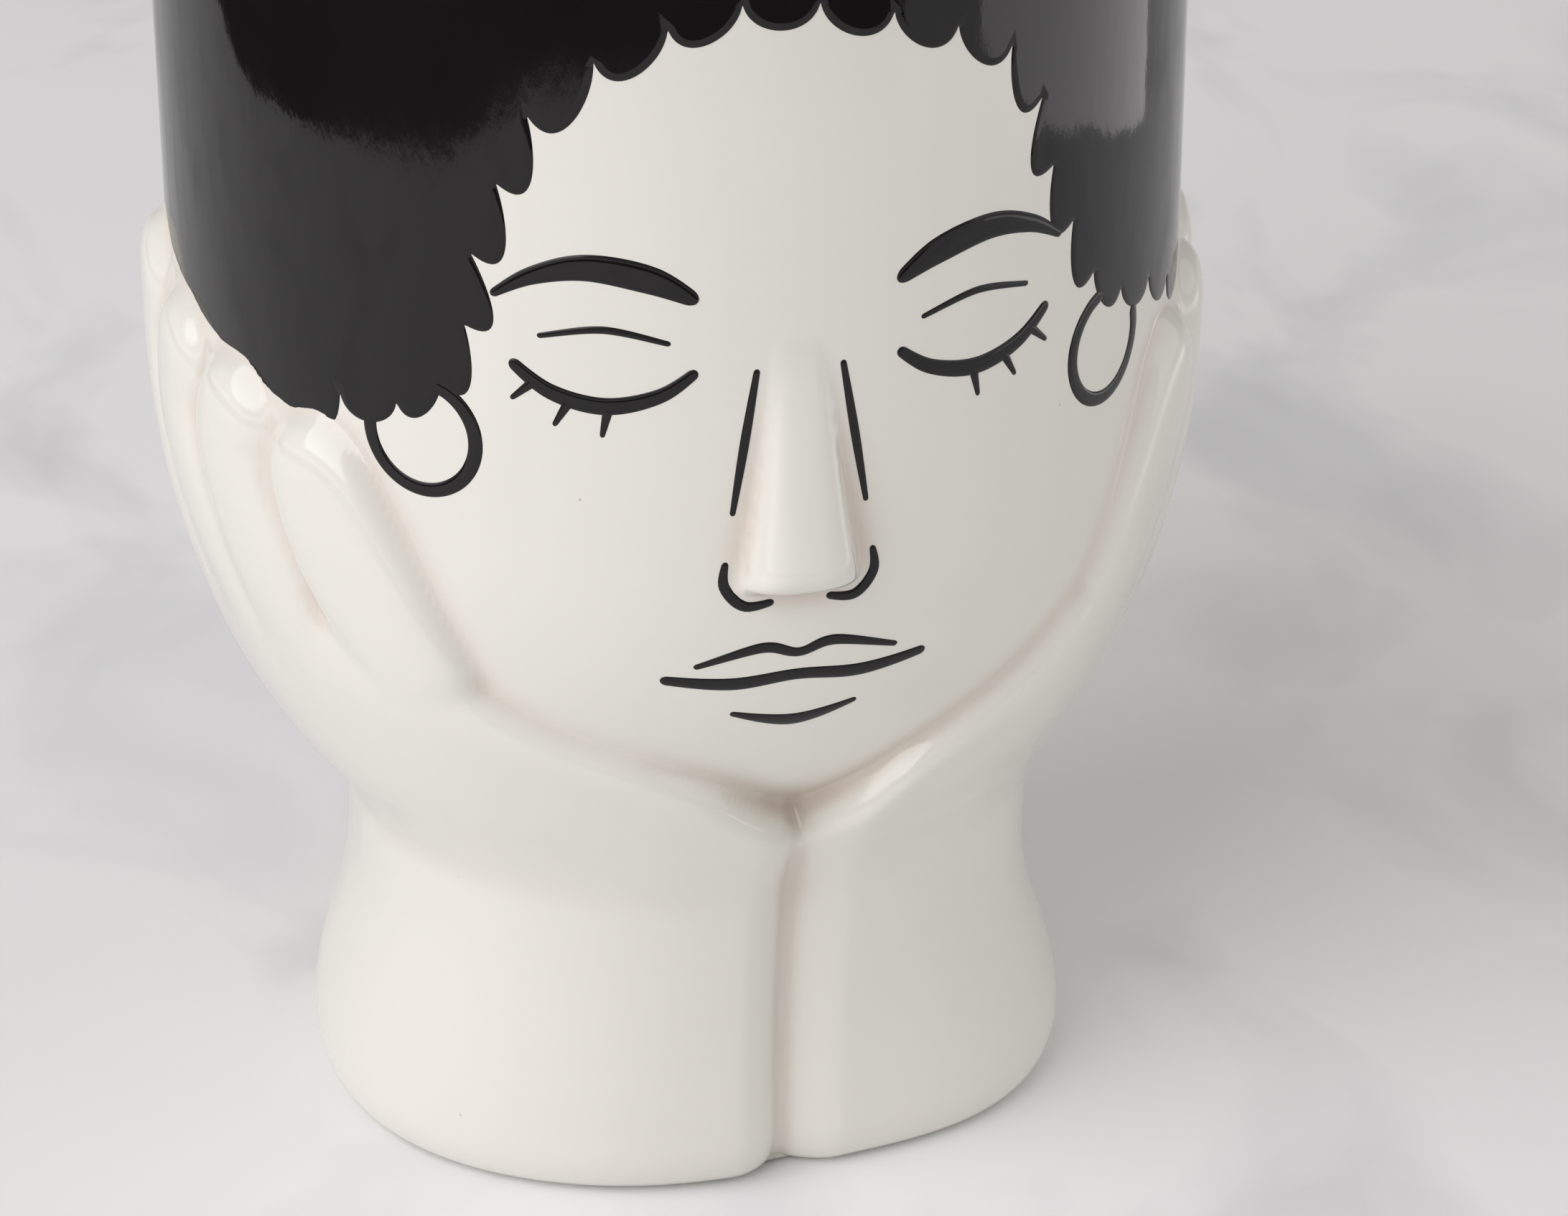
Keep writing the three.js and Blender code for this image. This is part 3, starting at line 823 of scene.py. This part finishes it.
def on_head(places, height):
    """Points at a height above the plain head and over its lip, and two directions along it."""
    angle = places[:, 0] / POT_RADIUS
    theta = np.degrees(angle)
    turn = np.clip((places[:, 1] - LIP_START) / LIP_RADIUS, 0, None)
    z = np.minimum(places[:, 1], LIP_START)
    wave = unevenness(theta, z)
    radius = head_radius(z) - LIP_RADIUS + wave + (LIP_RADIUS + height) * np.cos(turn)
    points = polar(theta, radius, z + (LIP_RADIUS + height) * np.sin(turn))
    slope = (head_radius(z + 0.5) - head_radius(z - 0.5)) * (turn == 0)
    outward = np.stack([np.sin(angle), -np.cos(angle), 0 * angle], axis=-1)
    around = np.stack([np.cos(angle), np.sin(angle), 0 * angle], axis=-1)
    rise = np.cos(turn)[:, None] * np.array([0, 0, 1]) + (slope - np.sin(turn))[:, None] * outward
    return points, around, unit(rise)


def left_of(line):
    """Unit directions to the left of a line at each of its points."""
    along = np.gradient(line, axis=0)
    return unit(np.stack([-along[:, 1], along[:, 0]], axis=-1))


def hair_outline():
    """The hair's outline on the unrolled pot, which is cut open at the back, then the points of its two
    painted edges and the directions in from them."""
    lower = locks(HAIR_NOTCHES)
    upper = evenly(np.array([[HALF_ROUND, PAINT_TOP], [-HALF_ROUND, PAINT_TOP]]), RIM_STEP)
    up = np.arange(lower[-1, 1] + FILL_STEP, LIP_ROWS[0] - LIP_CLEARANCE, FILL_STEP)
    heights = np.concatenate([up, LIP_ROWS])
    side = np.stack([np.full(len(heights), HALF_ROUND), heights], axis=-1)
    outline = np.concatenate([lower, side, upper, side[::-1] * np.array([-1, 1])])
    return outline, np.concatenate([lower, upper]), np.concatenate([left_of(lower), left_of(upper)])


def hair_filling(outline, shore, inward):
    """Points inside the outline: rings close along the painted edges, and rows over the rest."""
    fill = []
    for offset in SHOULDER_RINGS:
        ring = shore + inward * offset
        apart = nearest_of(ring, shore)[1]
        clear = (apart > RING_SHARE * offset) & (np.abs(ring[:, 0]) < HALF_ROUND - CUT_CLEARANCE)
        fill.append(ring[clear])
    across = np.arange(-HALF_ROUND + FILL_STEP / 2, HALF_ROUND - FILL_STEP / 4, FILL_STEP)
    up = np.arange(outline[:, 1].min() + FILL_STEP, LIP_ROWS[0] - LIP_CLEARANCE, FILL_RISE)
    for n, height in enumerate([*up, *LIP_ROWS]):
        row = np.stack([across + (n % 2) * FILL_STEP / 4, np.full(len(across), height)], axis=-1)
        step = LIP_STEP if height >= LIP_ROWS[0] else FILL_STEP
        fill.append(row[nearest_of(row, shore)[1] > PAINT_SHOULDER + step / 3])
    loose = np.concatenate(fill)
    return loose[inside_outline(loose, outline)]


def hair_faces(places, triangles):
    """Faces of the paint's outside over the triangles, of its underside and of the walls between the two."""
    # The two sides of the outline meet at the back and become one
    left = {round(float(places[k, 1]), 3): k for k in np.nonzero(places[:, 0] < NEAR - HALF_ROUND)[0]}
    same = np.arange(len(places))
    for k in np.nonzero(places[:, 0] > HALF_ROUND - NEAR)[0]:
        same[k] = left[round(float(places[k, 1]), 3)]
    faces = []
    for triangle in triangles:
        a, b, c = (places[k] for k in triangle)
        turn = (b[0] - a[0]) * (c[1] - a[1]) - (b[1] - a[1]) * (c[0] - a[0])
        order = triangle if turn > 0 else triangle[::-1]
        faces.append(tuple(int(same[k]) for k in order))
    count = len(places)
    edges = {(a, b) for face in faces for a, b in zip(face, face[1:] + face[:1])}
    below = [(a + count, c + count, b + count) for a, b, c in faces]
    walls = [(b, a, a + count, b + count) for a, b in edges if (b, a) not in edges]
    return faces + below + walls


def hair_piece(black):
    """The hair, painted from its locks up over the rim, all round the pot."""
    outline, shore, inward = hair_outline()
    loose = hair_filling(outline, shore, inward)
    flat = [Vector(p) for p in np.concatenate([outline, loose]).tolist()]
    ring = [(k, (k + 1) % len(outline)) for k in range(len(outline))]
    inside_only = 1
    margin = 1e-5
    places, _edges, triangles = delaunay_2d_cdt(flat, ring, [], inside_only, margin)[:3]
    places = np.array([tuple(p) for p in places])
    number, distance = nearest_of(places, shore)
    height, slope = shoulder_height(distance, PAINT_SHOULDER)
    away = np.where(distance[:, None] > NEAR, places - shore[number], inward[number])
    across_back = np.abs(away[:, 0]) > HALF_ROUND
    away[across_back, 0] -= np.sign(away[across_back, 0]) * 2 * HALF_ROUND
    away = unit(away)
    top, around, rise = on_head(places, height)
    under = on_head(places, -PAINT_SEAT)[0]
    downhill = slope[:, None] * (away[:, :1] * around + away[:, 1:] * rise)
    normals = unit(np.cross(around, rise) - downhill)
    points = np.concatenate([top, under])
    normals = np.concatenate([normals, np.zeros_like(normals)])
    return make_piece("hair_painting", points, hair_faces(places, triangles), [black], normals)


# Across a brush stroke, as shares of its half width
ACROSS = np.array([-1, -0.93, -0.78, -0.5, 0, 0.5, 0.78, 0.93, 1])
CURVE_STEPS = 12
STROKE_STEP = 0.35
STROKE_END = 1.2
STROKE_POINT = 0.02
FULL_PAINT_HALF_WIDTH = 0.6


def stroke_faces(rows, width):
    """Faces of a stroke whose upper points are rows by width, and whose lower points follow them."""
    number = np.arange(rows * width).reshape(rows, width)
    count = rows * width
    faces = []

    def wall(a, b, turned):
        face = (a, a + count, b + count, b)
        faces.append(face[::-1] if turned else face)

    for i in range(rows - 1):
        for k in range(width - 1):
            a, b, c, d = number[i, k], number[i, k + 1], number[i + 1, k + 1], number[i + 1, k]
            faces.append((d, c, b, a))
            faces.append(tuple(v + count for v in (a, b, c, d)))
        for k, turned in ((0, False), (width - 1, True)):
            wall(number[i, k], number[i + 1, k], turned)
    for i, turned in ((0, True), (rows - 1, False)):
        for k in range(width - 1):
            wall(number[i, k], number[i, k + 1], turned)
    return faces


def brush_stroke(line):
    """Points, faces and normals of a stroke with round ends through (along the side, height, half width)
    points."""
    dense = np.array(smoothed(line, CURVE_STEPS))
    lengths = lengths_along(dense[:, :2])
    # Closer steps towards the ends draw their round
    turns = np.linspace(0, math.pi, int(lengths[-1] / STROKE_STEP) + 2)
    wanted = lengths[-1] * (0.5 - 0.5 * np.cos(turns))
    centre = np.stack([np.interp(wanted, lengths, dense[:, k]) for k in range(3)], axis=-1)
    to_end = np.minimum(wanted, lengths[-1] - wanted)
    share = np.clip(to_end / (STROKE_END * centre[:, 2]), 0, 1)
    half = centre[:, 2] * quarter_round(share) + STROKE_POINT
    aside = left_of(centre[:, :2])
    reach = half[:, None] * ACROSS
    u = centre[:, :1] + aside[:, :1] * reach
    z = centre[:, 1:2] + aside[:, 1:] * reach
    edge = half[:, None] * (1 - np.abs(ACROSS))
    height = shoulder_height(edge, np.minimum(PAINT_SHOULDER, half)[:, None])[0]
    height = height * np.minimum(half / FULL_PAINT_HALF_WIDTH, 1)[:, None]
    theta = np.degrees(u / POT_RADIUS)
    base = glazed_radius(theta, z)
    top = polar(theta, base + height, z)
    under = polar(theta, base - PAINT_SEAT, z)
    normals = np.cross(np.gradient(top, axis=1), np.gradient(top, axis=0))
    outward = polar(theta, np.ones_like(theta), 0 * z) - polar(theta, np.zeros_like(theta), 0 * z)
    normals *= np.sign((normals * outward).sum(axis=-1, keepdims=True))
    normals = unit(normals).reshape(-1, 3)
    points = np.concatenate([top.reshape(-1, 3), under.reshape(-1, 3)])
    return points, stroke_faces(*theta.shape), np.concatenate([normals, np.zeros_like(normals)])


def strokes_piece(name, lines, black):
    """One piece of painting, made of a brush stroke along each line."""
    points, faces, normals = [], [], []
    start = 0
    for line in lines:
        made, made_faces, made_normals = brush_stroke(line)
        points.append(made)
        normals.append(made_normals)
        faces += [tuple(v + start for v in face) for face in made_faces]
        start += len(made)
    return make_piece(name, np.concatenate(points), faces, [black], np.concatenate(normals))


# The face: calm, with lowered lids, on plain thirds between the hair, the brows, the nose and the chin.
# Each line holds (along the side, height, half width) points, drawn for one side and mirrored.
BROW = [(13, 151.2, 0.9), (19, 154.2, 1.9), (27, 155.6, 1.8), (34, 154.0, 1.2), (39.5, 150.8, 0.5)]
LID = [(13.2, 141.6, 0.7), (18, 138.2, 1.0), (25, 136.6, 1.2), (32, 138.2, 1.1), (37.2, 142.0, 0.8)]
LID_FOLD = [(16.5, 145.4, 0.35), (25, 147.2, 0.5), (33.5, 145.8, 0.35)]
LASHES = [
    [(24.5, 136.4, 0.7), (25.4, 132.2, 0.3)],
    [(29.4, 137.2, 0.7), (31.6, 133.4, 0.3)],
    [(33.8, 139.6, 0.7), (37.2, 136.6, 0.3)],
]
NOSE_WING = [(3.5, 108.2, 0.5), (7.4, 107.8, 0.75), (10.0, 110.8, 0.7), (9.8, 114.4, 0.4)]
NOSE_SIDE = [(8.9, 121, 0.35), (7.3, 131, 0.6), (5.6, 141.5, 0.4)]
LIPS = [(-18.5, 96.6, 0.7), (-9, 95.6, 1.0), (0, 96.4, 0.9), (9, 95.6, 1.0), (18.5, 96.6, 0.7)]
UPPER_LIP = [(-14, 98.6, 0.4), (-5, 101.2, 0.8), (0, 100.0, 0.7), (5, 101.2, 0.8), (14, 98.6, 0.4)]
LOWER_LIP = [(-9, 90.4, 0.4), (0, 88.4, 1.0), (9, 90.4, 0.4)]
HOOP_PLACES = {-1: (50.0, 129.3), 1: (50.5, 131.5)}
HOOP_RADIUS = 7.8
HOOP_HALF_WIDTH = 1.0
HOOP_GAP_MIDDLE = 60.0
HOOP_GAP = 40.0
HOOP_POINTS = 14
SIDES = (("left", -1), ("right", 1))


def on_side(side, line):
    return [(side * u, z, half) for u, z, half in line]


def hoop(side):
    """A hoop whose gap points up and outwards, so that both its ends run into the hair."""
    u, z = HOOP_PLACES[side]
    turns = HOOP_GAP_MIDDLE + np.linspace(HOOP_GAP, 360 - HOOP_GAP, HOOP_POINTS)
    line = [
        (u + HOOP_RADIUS * math.cos(t), z + HOOP_RADIUS * math.sin(t), HOOP_HALF_WIDTH)
        for t in np.radians(turns)
    ]
    return on_side(side, line)


def face_pieces(black):
    made = [strokes_piece("mouth_painting", [LIPS, UPPER_LIP, LOWER_LIP], black)]
    drawn = {"brow": [BROW], "eye": [LID, LID_FOLD, *LASHES], "nose": [NOSE_WING, NOSE_SIDE]}
    for word, side in SIDES:
        for part, lines in drawn.items():
            mirrored = [on_side(side, line) for line in lines]
            made.append(strokes_piece(f"{word}_{part}_painting", mirrored, black))
    for word, side in SIDES:
        made.append(strokes_piece(f"{word}_hoop_painting", [hoop(side)], black))
    return made


# Plug and pads, turned pieces with rounded corners
TURNED_SEGMENTS = 96
CORNER_STEPS = 6
JOINT_GAP = 0.3
PLUG_TIP_RADIUS = 4.3
PLUG_STEM_RADIUS = 5.65
PLUG_FLANGE_RADIUS = 12
PLUG_FLANGE_THICKNESS = 2.4
PLUG_NECK_BASE_RADIUS = 3.3
PLUG_NECK_RADIUS = 3.2
PLUG_KNOB_RADIUS = 5.2
PLUG_KNOB_TOP_RADIUS = 4.6
PAD_SUNK = 0.5


def rounded_profile(corners):
    """Points of a profile whose (radius, height, rounding) corners are turned into arcs."""
    made = []
    places = [np.array(corner[:2]) for corner in corners]
    for k, (radius, height, rounding) in enumerate(corners):
        if rounding == 0:
            made.append((radius, height))
            continue
        here = places[k]
        back = places[k - 1] - here
        ahead = places[k + 1] - here
        start = here + back / np.linalg.norm(back) * rounding
        end = here + ahead / np.linalg.norm(ahead) * rounding
        for t in np.linspace(0, 1, CORNER_STEPS):
            made.append(tuple((1 - t) ** 2 * start + 2 * t * (1 - t) * here + t * t * end))
    return made


def turned_piece(name, centre, profile, material):
    """Solid of revolution about a vertical axis. Its profile starts and ends there and goes up outside."""
    angles = np.arange(TURNED_SEGMENTS) / TURNED_SEGMENTS * 2 * math.pi
    x, y = centre
    inner = profile[1:-1]
    points = [(x, y, profile[0][1])]
    for radius, height in inner:
        points += [(x + radius * math.cos(a), y + radius * math.sin(a), height) for a in angles]
    points.append((x, y, profile[-1][1]))
    faces = []
    top = len(points) - 1
    last = 1 + (len(inner) - 1) * TURNED_SEGMENTS
    for k in range(TURNED_SEGMENTS):
        n = (k + 1) % TURNED_SEGMENTS
        faces.append((0, 1 + n, 1 + k))
        faces.append((top, last + k, last + n))
        for low in range(1, last, TURNED_SEGMENTS):
            high = low + TURNED_SEGMENTS
            faces.append((low + k, low + n, high + n, high + k))
    return make_piece(name, points, faces, [material])


def plug_piece(rubber):
    low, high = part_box("drain_plug")
    bottom, top = low.z / MM, high.z / MM
    seat = FLOOR_HEIGHT + JOINT_GAP
    flange_top = seat + PLUG_FLANGE_THICKNESS
    corners = [
        (0, bottom, 0),
        (PLUG_TIP_RADIUS, bottom, 0.8),
        (PLUG_STEM_RADIUS, HEAD_BOTTOM + DRAIN_ROUNDING, 1.2),
        (PLUG_STEM_RADIUS, seat, 0),
        (PLUG_FLANGE_RADIUS, seat, 0.5),
        (PLUG_FLANGE_RADIUS, flange_top, 1.1),
        (PLUG_NECK_BASE_RADIUS, flange_top + 0.3, 1.2),
        (PLUG_NECK_RADIUS, top - 6.2, 1.5),
        (PLUG_KNOB_RADIUS, top - 3.4, 1.6),
        (PLUG_KNOB_TOP_RADIUS, top, 1.9),
        (0, top, 0),
    ]
    return turned_piece("drain_plug_rubber", (0, AXIS_Y), rounded_profile(corners), rubber)


def pad_piece(node, silicone):
    low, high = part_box(node)
    radius = (high.x - low.x) / 2 / MM
    centre = ((low.x + high.x) / 2 / MM, (low.y + high.y) / 2 / MM)
    top = FOOT_BOTTOM + PAD_SUNK
    corners = [(0, 0, 0), (radius, 0, 0.15), (radius, top, 0.25), (0, top, 0)]
    return turned_piece(f"{node}_silicone", centre, rounded_profile(corners), silicone)


# Materials
class Finish:
    """A material in the making, with short ways to add the nodes that the materials share."""

    def __init__(self, name):
        self.material = bpy.data.materials.new(name)
        self.material.use_nodes = True
        self.nodes = self.material.node_tree.nodes
        self.links = self.material.node_tree.links
        self.shader = self.nodes["Principled BSDF"]

    @cached_property
    def place(self):
        """The object's own coordinates."""
        return self.nodes.new("ShaderNodeTexCoord").outputs["Object"]

    def add(self, kind, **values):
        """A new node with its sockets set, named here with _ for a space."""
        node = self.nodes.new(kind)
        set_sockets(node, **values)
        return node

    def show(self, output, socket):
        self.links.new(output, self.shader.inputs[socket])

    def noise(self, scale, detail, stretch=(1, 1, 1), turn=0.0, distortion=0.0):
        """Noise over the object's own coordinates, which may be stretched and turned."""
        mapping = self.add("ShaderNodeMapping", Scale=stretch, Rotation=(0, 0, turn))
        self.links.new(self.place, mapping.inputs["Vector"])
        noise = self.add("ShaderNodeTexNoise", Scale=scale, Detail=detail, Distortion=distortion)
        self.links.new(mapping.outputs["Vector"], noise.inputs["Vector"])
        return noise.outputs["Fac"]

    def mixed(self, factor, a, b):
        """A colour between a and b, either of them a colour or an output."""
        mix = self.nodes.new("ShaderNodeMix")
        mix.data_type = "RGBA"
        self.links.new(factor, mix.inputs["Factor"])
        for socket, value in (("A", a), ("B", b)):
            if isinstance(value, tuple):
                mix.inputs[socket].default_value = (*value, 1)
            else:
                self.links.new(value, mix.inputs[socket])
        return mix.outputs["Result"]

    def ranged(self, value, from_range, to_range):
        """A value mapped from one range to another."""
        mapped = self.add(
            "ShaderNodeMapRange",
            From_Min=from_range[0], From_Max=from_range[1], To_Min=to_range[0], To_Max=to_range[1],
        )
        self.links.new(value, mapped.inputs["Value"])
        return mapped.outputs["Result"]

    def bump(self, height, strength, distance):
        bump = self.add("ShaderNodeBump", Strength=strength, Distance=distance)
        self.links.new(height, bump.inputs["Height"])
        self.show(bump.outputs["Normal"], "Normal")


def set_sockets(node, **values):
    for name, value in values.items():
        node.inputs[name.replace("_", " ")].default_value = value


# The part of a noise's range that most of its values lie in
NOISE_RANGE = (0.3, 0.7)

# Colours; where there are two, a noise mixes them
CREAM = ((0.80, 0.783, 0.715), (0.78, 0.763, 0.695))
# Pooled glaze's colour, which also paints shade into hollows and creases
POOLED_AND_SHADED_CREAM = (0.70, 0.625, 0.545)
PINHOLE = (0.45, 0.39, 0.32)
BLACK = ((0.006, 0.005, 0.0055), (0.010, 0.0085, 0.0085))
BISQUE = ((0.74, 0.68, 0.58), (0.66, 0.59, 0.49))
RUBBER = ((0.034, 0.034, 0.034), (0.024, 0.024, 0.024))
SILICONE = ((0.53, 0.51, 0.47), (0.46, 0.44, 0.40))
MARBLE = ((0.93, 0.93, 0.93), (0.775, 0.775, 0.785))
CARD = (0.004, 0.004, 0.004)


def cream_glaze():
    """Opaque cream glaze: warmer where it pools, which also stands for painted shade in hollows, with a faint
    mottle, tiny pinholes and an uneven gloss.
    """
    finish = Finish("cream_glaze")
    base = finish.mixed(finish.noise(scale=28, detail=3), *CREAM)
    # Pooled glaze, with painted shade in hollows and creases
    pool_and_shade = finish.nodes.new("ShaderNodeAttribute")
    pool_and_shade.attribute_name = "glaze_pool_and_shade"
    pooled_and_shaded = finish.mixed(pool_and_shade.outputs["Fac"], base, POOLED_AND_SHADED_CREAM)
    cells = finish.add("ShaderNodeTexVoronoi", Scale=75)
    finish.links.new(finish.place, cells.inputs["Vector"])
    hole = finish.ranged(cells.outputs["Distance"], (0.008, 0.020), (0.7, 0.0))
    finish.show(finish.mixed(hole, pooled_and_shaded, PINHOLE), "Base Color")
    gloss = finish.noise(scale=45, detail=2)
    finish.show(finish.ranged(gloss, NOISE_RANGE, (0.12, 0.22)), "Roughness")
    set_sockets(finish.shader, Coat_Weight=0.2, Coat_Roughness=0.06)
    finish.bump(finish.noise(scale=90, detail=2), strength=0.06, distance=0.0006)
    return finish.material


def black_glaze():
    """Glossy black with faint brush marks that run up the pot."""
    finish = Finish("black_glaze")
    upright = (1, 1, 0.3)
    wash = finish.noise(scale=60, detail=3, stretch=upright)
    finish.show(finish.mixed(wash, *BLACK), "Base Color")
    finish.show(finish.ranged(wash, NOISE_RANGE, (0.03, 0.07)), "Roughness")
    set_sockets(finish.shader, IOR=1.41)
    finish.bump(finish.noise(scale=420, detail=5, stretch=upright), strength=0.04, distance=0.0006)
    return finish.material


def grained_material(name, colors, scale, roughness, strength):
    """A dull material with a fine grain in its colour, its gloss and its surface."""
    finish = Finish(name)
    grain = finish.noise(scale, detail=5)
    finish.show(finish.mixed(grain, *colors), "Base Color")
    finish.show(finish.ranged(grain, NOISE_RANGE, roughness), "Roughness")
    finish.bump(grain, strength, distance=0.0004)
    return finish.material


def marble():
    """Pale honed stone with soft grey veins, too dull to mirror the cards."""
    finish = Finish("floor_marble")
    clouds = finish.noise(scale=12, detail=3, stretch=(1.5, 1, 1), turn=math.radians(30), distortion=0.7)
    grey = finish.ranged(clouds, (0.48, 0.72), (0.0, 1.0))
    finish.show(finish.mixed(grey, *MARBLE), "Base Color")
    set_sockets(finish.shader, Roughness=0.6, Specular_IOR_Level=0.05)
    return finish.material


def card_material(name, color, strength):
    """A card that sends out an even light, as a lit or an unlit sheet does in a reflection."""
    finish = Finish(name)
    set_sockets(
        finish.shader,
        Base_Color=(*CARD, 1), Roughness=0.9,
        Emission_Color=(*color, 1), Emission_Strength=strength,
    )
    return finish.material


# Camera, fitted to the photograph, which is PHOTO_WIDTH pixels wide
PHOTO_WIDTH = 2184
CAMERA_ELEVATION = 28.0
CAMERA_AZIMUTH = 14.5
CAMERA_DISTANCE = 725.3
CAMERA_TARGET_HEIGHT = 71.0
CAMERA_SHIFT_RIGHT = 15.32
CAMERA_FOCAL_PIXELS = 6991.98
SENSOR_WIDTH = 36.0


def add_camera():
    data = bpy.data.cameras.new("camera")
    data.sensor_width = SENSOR_WIDTH
    data.lens = CAMERA_FOCAL_PIXELS * SENSOR_WIDTH / PHOTO_WIDTH
    data.clip_start = 0.01
    data.clip_end = 50
    azimuth = math.radians(CAMERA_AZIMUTH)
    elevation = math.radians(CAMERA_ELEVATION)
    forward = Vector((
        math.sin(azimuth) * math.cos(elevation),
        math.cos(azimuth) * math.cos(elevation),
        -math.sin(elevation),
    ))
    right = Vector((math.cos(azimuth), -math.sin(azimuth), 0))
    up = right.cross(forward)
    target = Vector((0, AXIS_Y, CAMERA_TARGET_HEIGHT))
    place = (target + right * CAMERA_SHIFT_RIGHT - forward * CAMERA_DISTANCE) * MM
    turn = Matrix((right, up, -forward)).transposed().to_4x4()
    camera = new_object("camera", data)
    camera.matrix_world = Matrix.Translation(place) @ turn
    bpy.context.scene.camera = camera


# Lamps, sky, floor and cards, in metres. The cards stand round the planter only for its glossy reflections,
# as photographers put them up: a black one round the camera's side for the deep black in the hair, and a
# bright one on the right. A card's foot runs through its places.
LAMP_TARGET = (0, 0, 0.1)
SKY_COLOR = (1.0, 0.98, 0.93)
SKY_STRENGTH = 0.345
FLOOR_HALF_WIDTH = 3.0
BLACK_CARD = [
    (-0.43, 0.60), (-0.428, 0.275), (-0.435, 0.186), (-0.458, 0.062), (-0.455, -0.081), (-0.406, -0.228),
    (-0.313, -0.405), (-0.12, -0.49), (0.10, -0.50), (0.275, -0.41),
]
BRIGHT_CARD = [(0.41, -0.31), (0.43, -0.124), (0.437, -0.028), (0.405, 0.13)]


def add_area_light(name, place, width, power, color):
    """A square lamp that points at the planter."""
    data = bpy.data.lights.new(name, "AREA")
    data.size = width
    data.energy = power
    data.color = color
    light = new_object(name, data)
    light.location = place
    light.rotation_mode = "QUATERNION"
    light.rotation_quaternion = (Vector(LAMP_TARGET) - Vector(place)).to_track_quat("-Z", "Y")


def add_stage_piece(name, points, faces, material):
    mesh = bpy.data.meshes.new(name)
    mesh.from_pydata(points, [], faces)
    mesh.materials.append(material)
    made = new_object(name, mesh)
    return made


def add_card(name, foot, height, color, strength):
    """A curved wall that only reflections show."""
    points, faces = [], []
    for k, (x, y) in enumerate(smoothed(foot)):
        points += [(x, y, 0.0), (x, y, height)]
        if k:
            faces.append((2 * k - 2, 2 * k, 2 * k + 1, 2 * k - 1))
    card = add_stage_piece(name, points, faces, card_material(name, color, strength))
    card.visible_camera = False
    card.visible_diffuse = False
    card.visible_shadow = False


def add_stage():
    half = FLOOR_HALF_WIDTH
    corners = [(-half, -half, 0), (half, -half, 0), (half, half, 0), (-half, half, 0)]
    add_stage_piece("floor", corners, [(0, 1, 2, 3)], marble())
    world = bpy.context.scene.world or bpy.data.worlds.new("world")
    bpy.context.scene.world = world
    world.use_nodes = True
    set_sockets(world.node_tree.nodes["Background"], Color=(*SKY_COLOR, 1), Strength=SKY_STRENGTH)
    add_area_light("window", place=(-1.3, -0.7, 1.1), width=1.9, power=28.5, color=(0.97, 0.955, 1.0))
    add_area_light("fill", place=(1.4, -0.4, 0.8), width=1.6, power=6.5, color=(0.96, 0.94, 1.0))
    add_card("black_card", BLACK_CARD, height=0.06, color=(1, 1, 1), strength=0)
    add_card("bright_card", BRIGHT_CARD, height=0.04, color=(1.0, 0.97, 0.97), strength=1.7)


bpy.context.scene.view_settings.view_transform = "Standard"
add_camera()
add_stage()
cream = cream_glaze()
bisque = grained_material("bisque", BISQUE, scale=900, roughness=(0.8, 0.95), strength=0.3)
black = black_glaze()
rubber = grained_material("plug_rubber", RUBBER, scale=700, roughness=(0.5, 0.7), strength=0.15)
silicone = grained_material("pad_silicone", SILICONE, scale=500, roughness=(0.4, 0.55), strength=0.1)


def place_piece(piece, body, slot, *nodes):
    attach(piece, body)
    if nodes:
        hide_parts(*nodes)


place_piece(head_piece(cream), "pot", "cream_glaze", "head_bowl")
place_piece(hand_piece("left_hand_cast", -1, cream, bisque), "pot", "cream_glaze", "left_hand")
place_piece(hand_piece("right_hand_cast", 1, cream, bisque), "pot", "cream_glaze", "right_hand")
place_piece(nose_piece(cream), "pot", "cream_glaze", "nose")
place_piece(hair_piece(black), "pot", "black_glaze")
for painting in face_pieces(black):
    place_piece(painting, "pot", "black_glaze")
place_piece(plug_piece(rubber), "plug", "plug_rubber", "drain_plug")
for node in sorted(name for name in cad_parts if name.startswith("foot_pad")):
    place_piece(pad_piece(node, silicone), "pot", "pad_silicone", node)
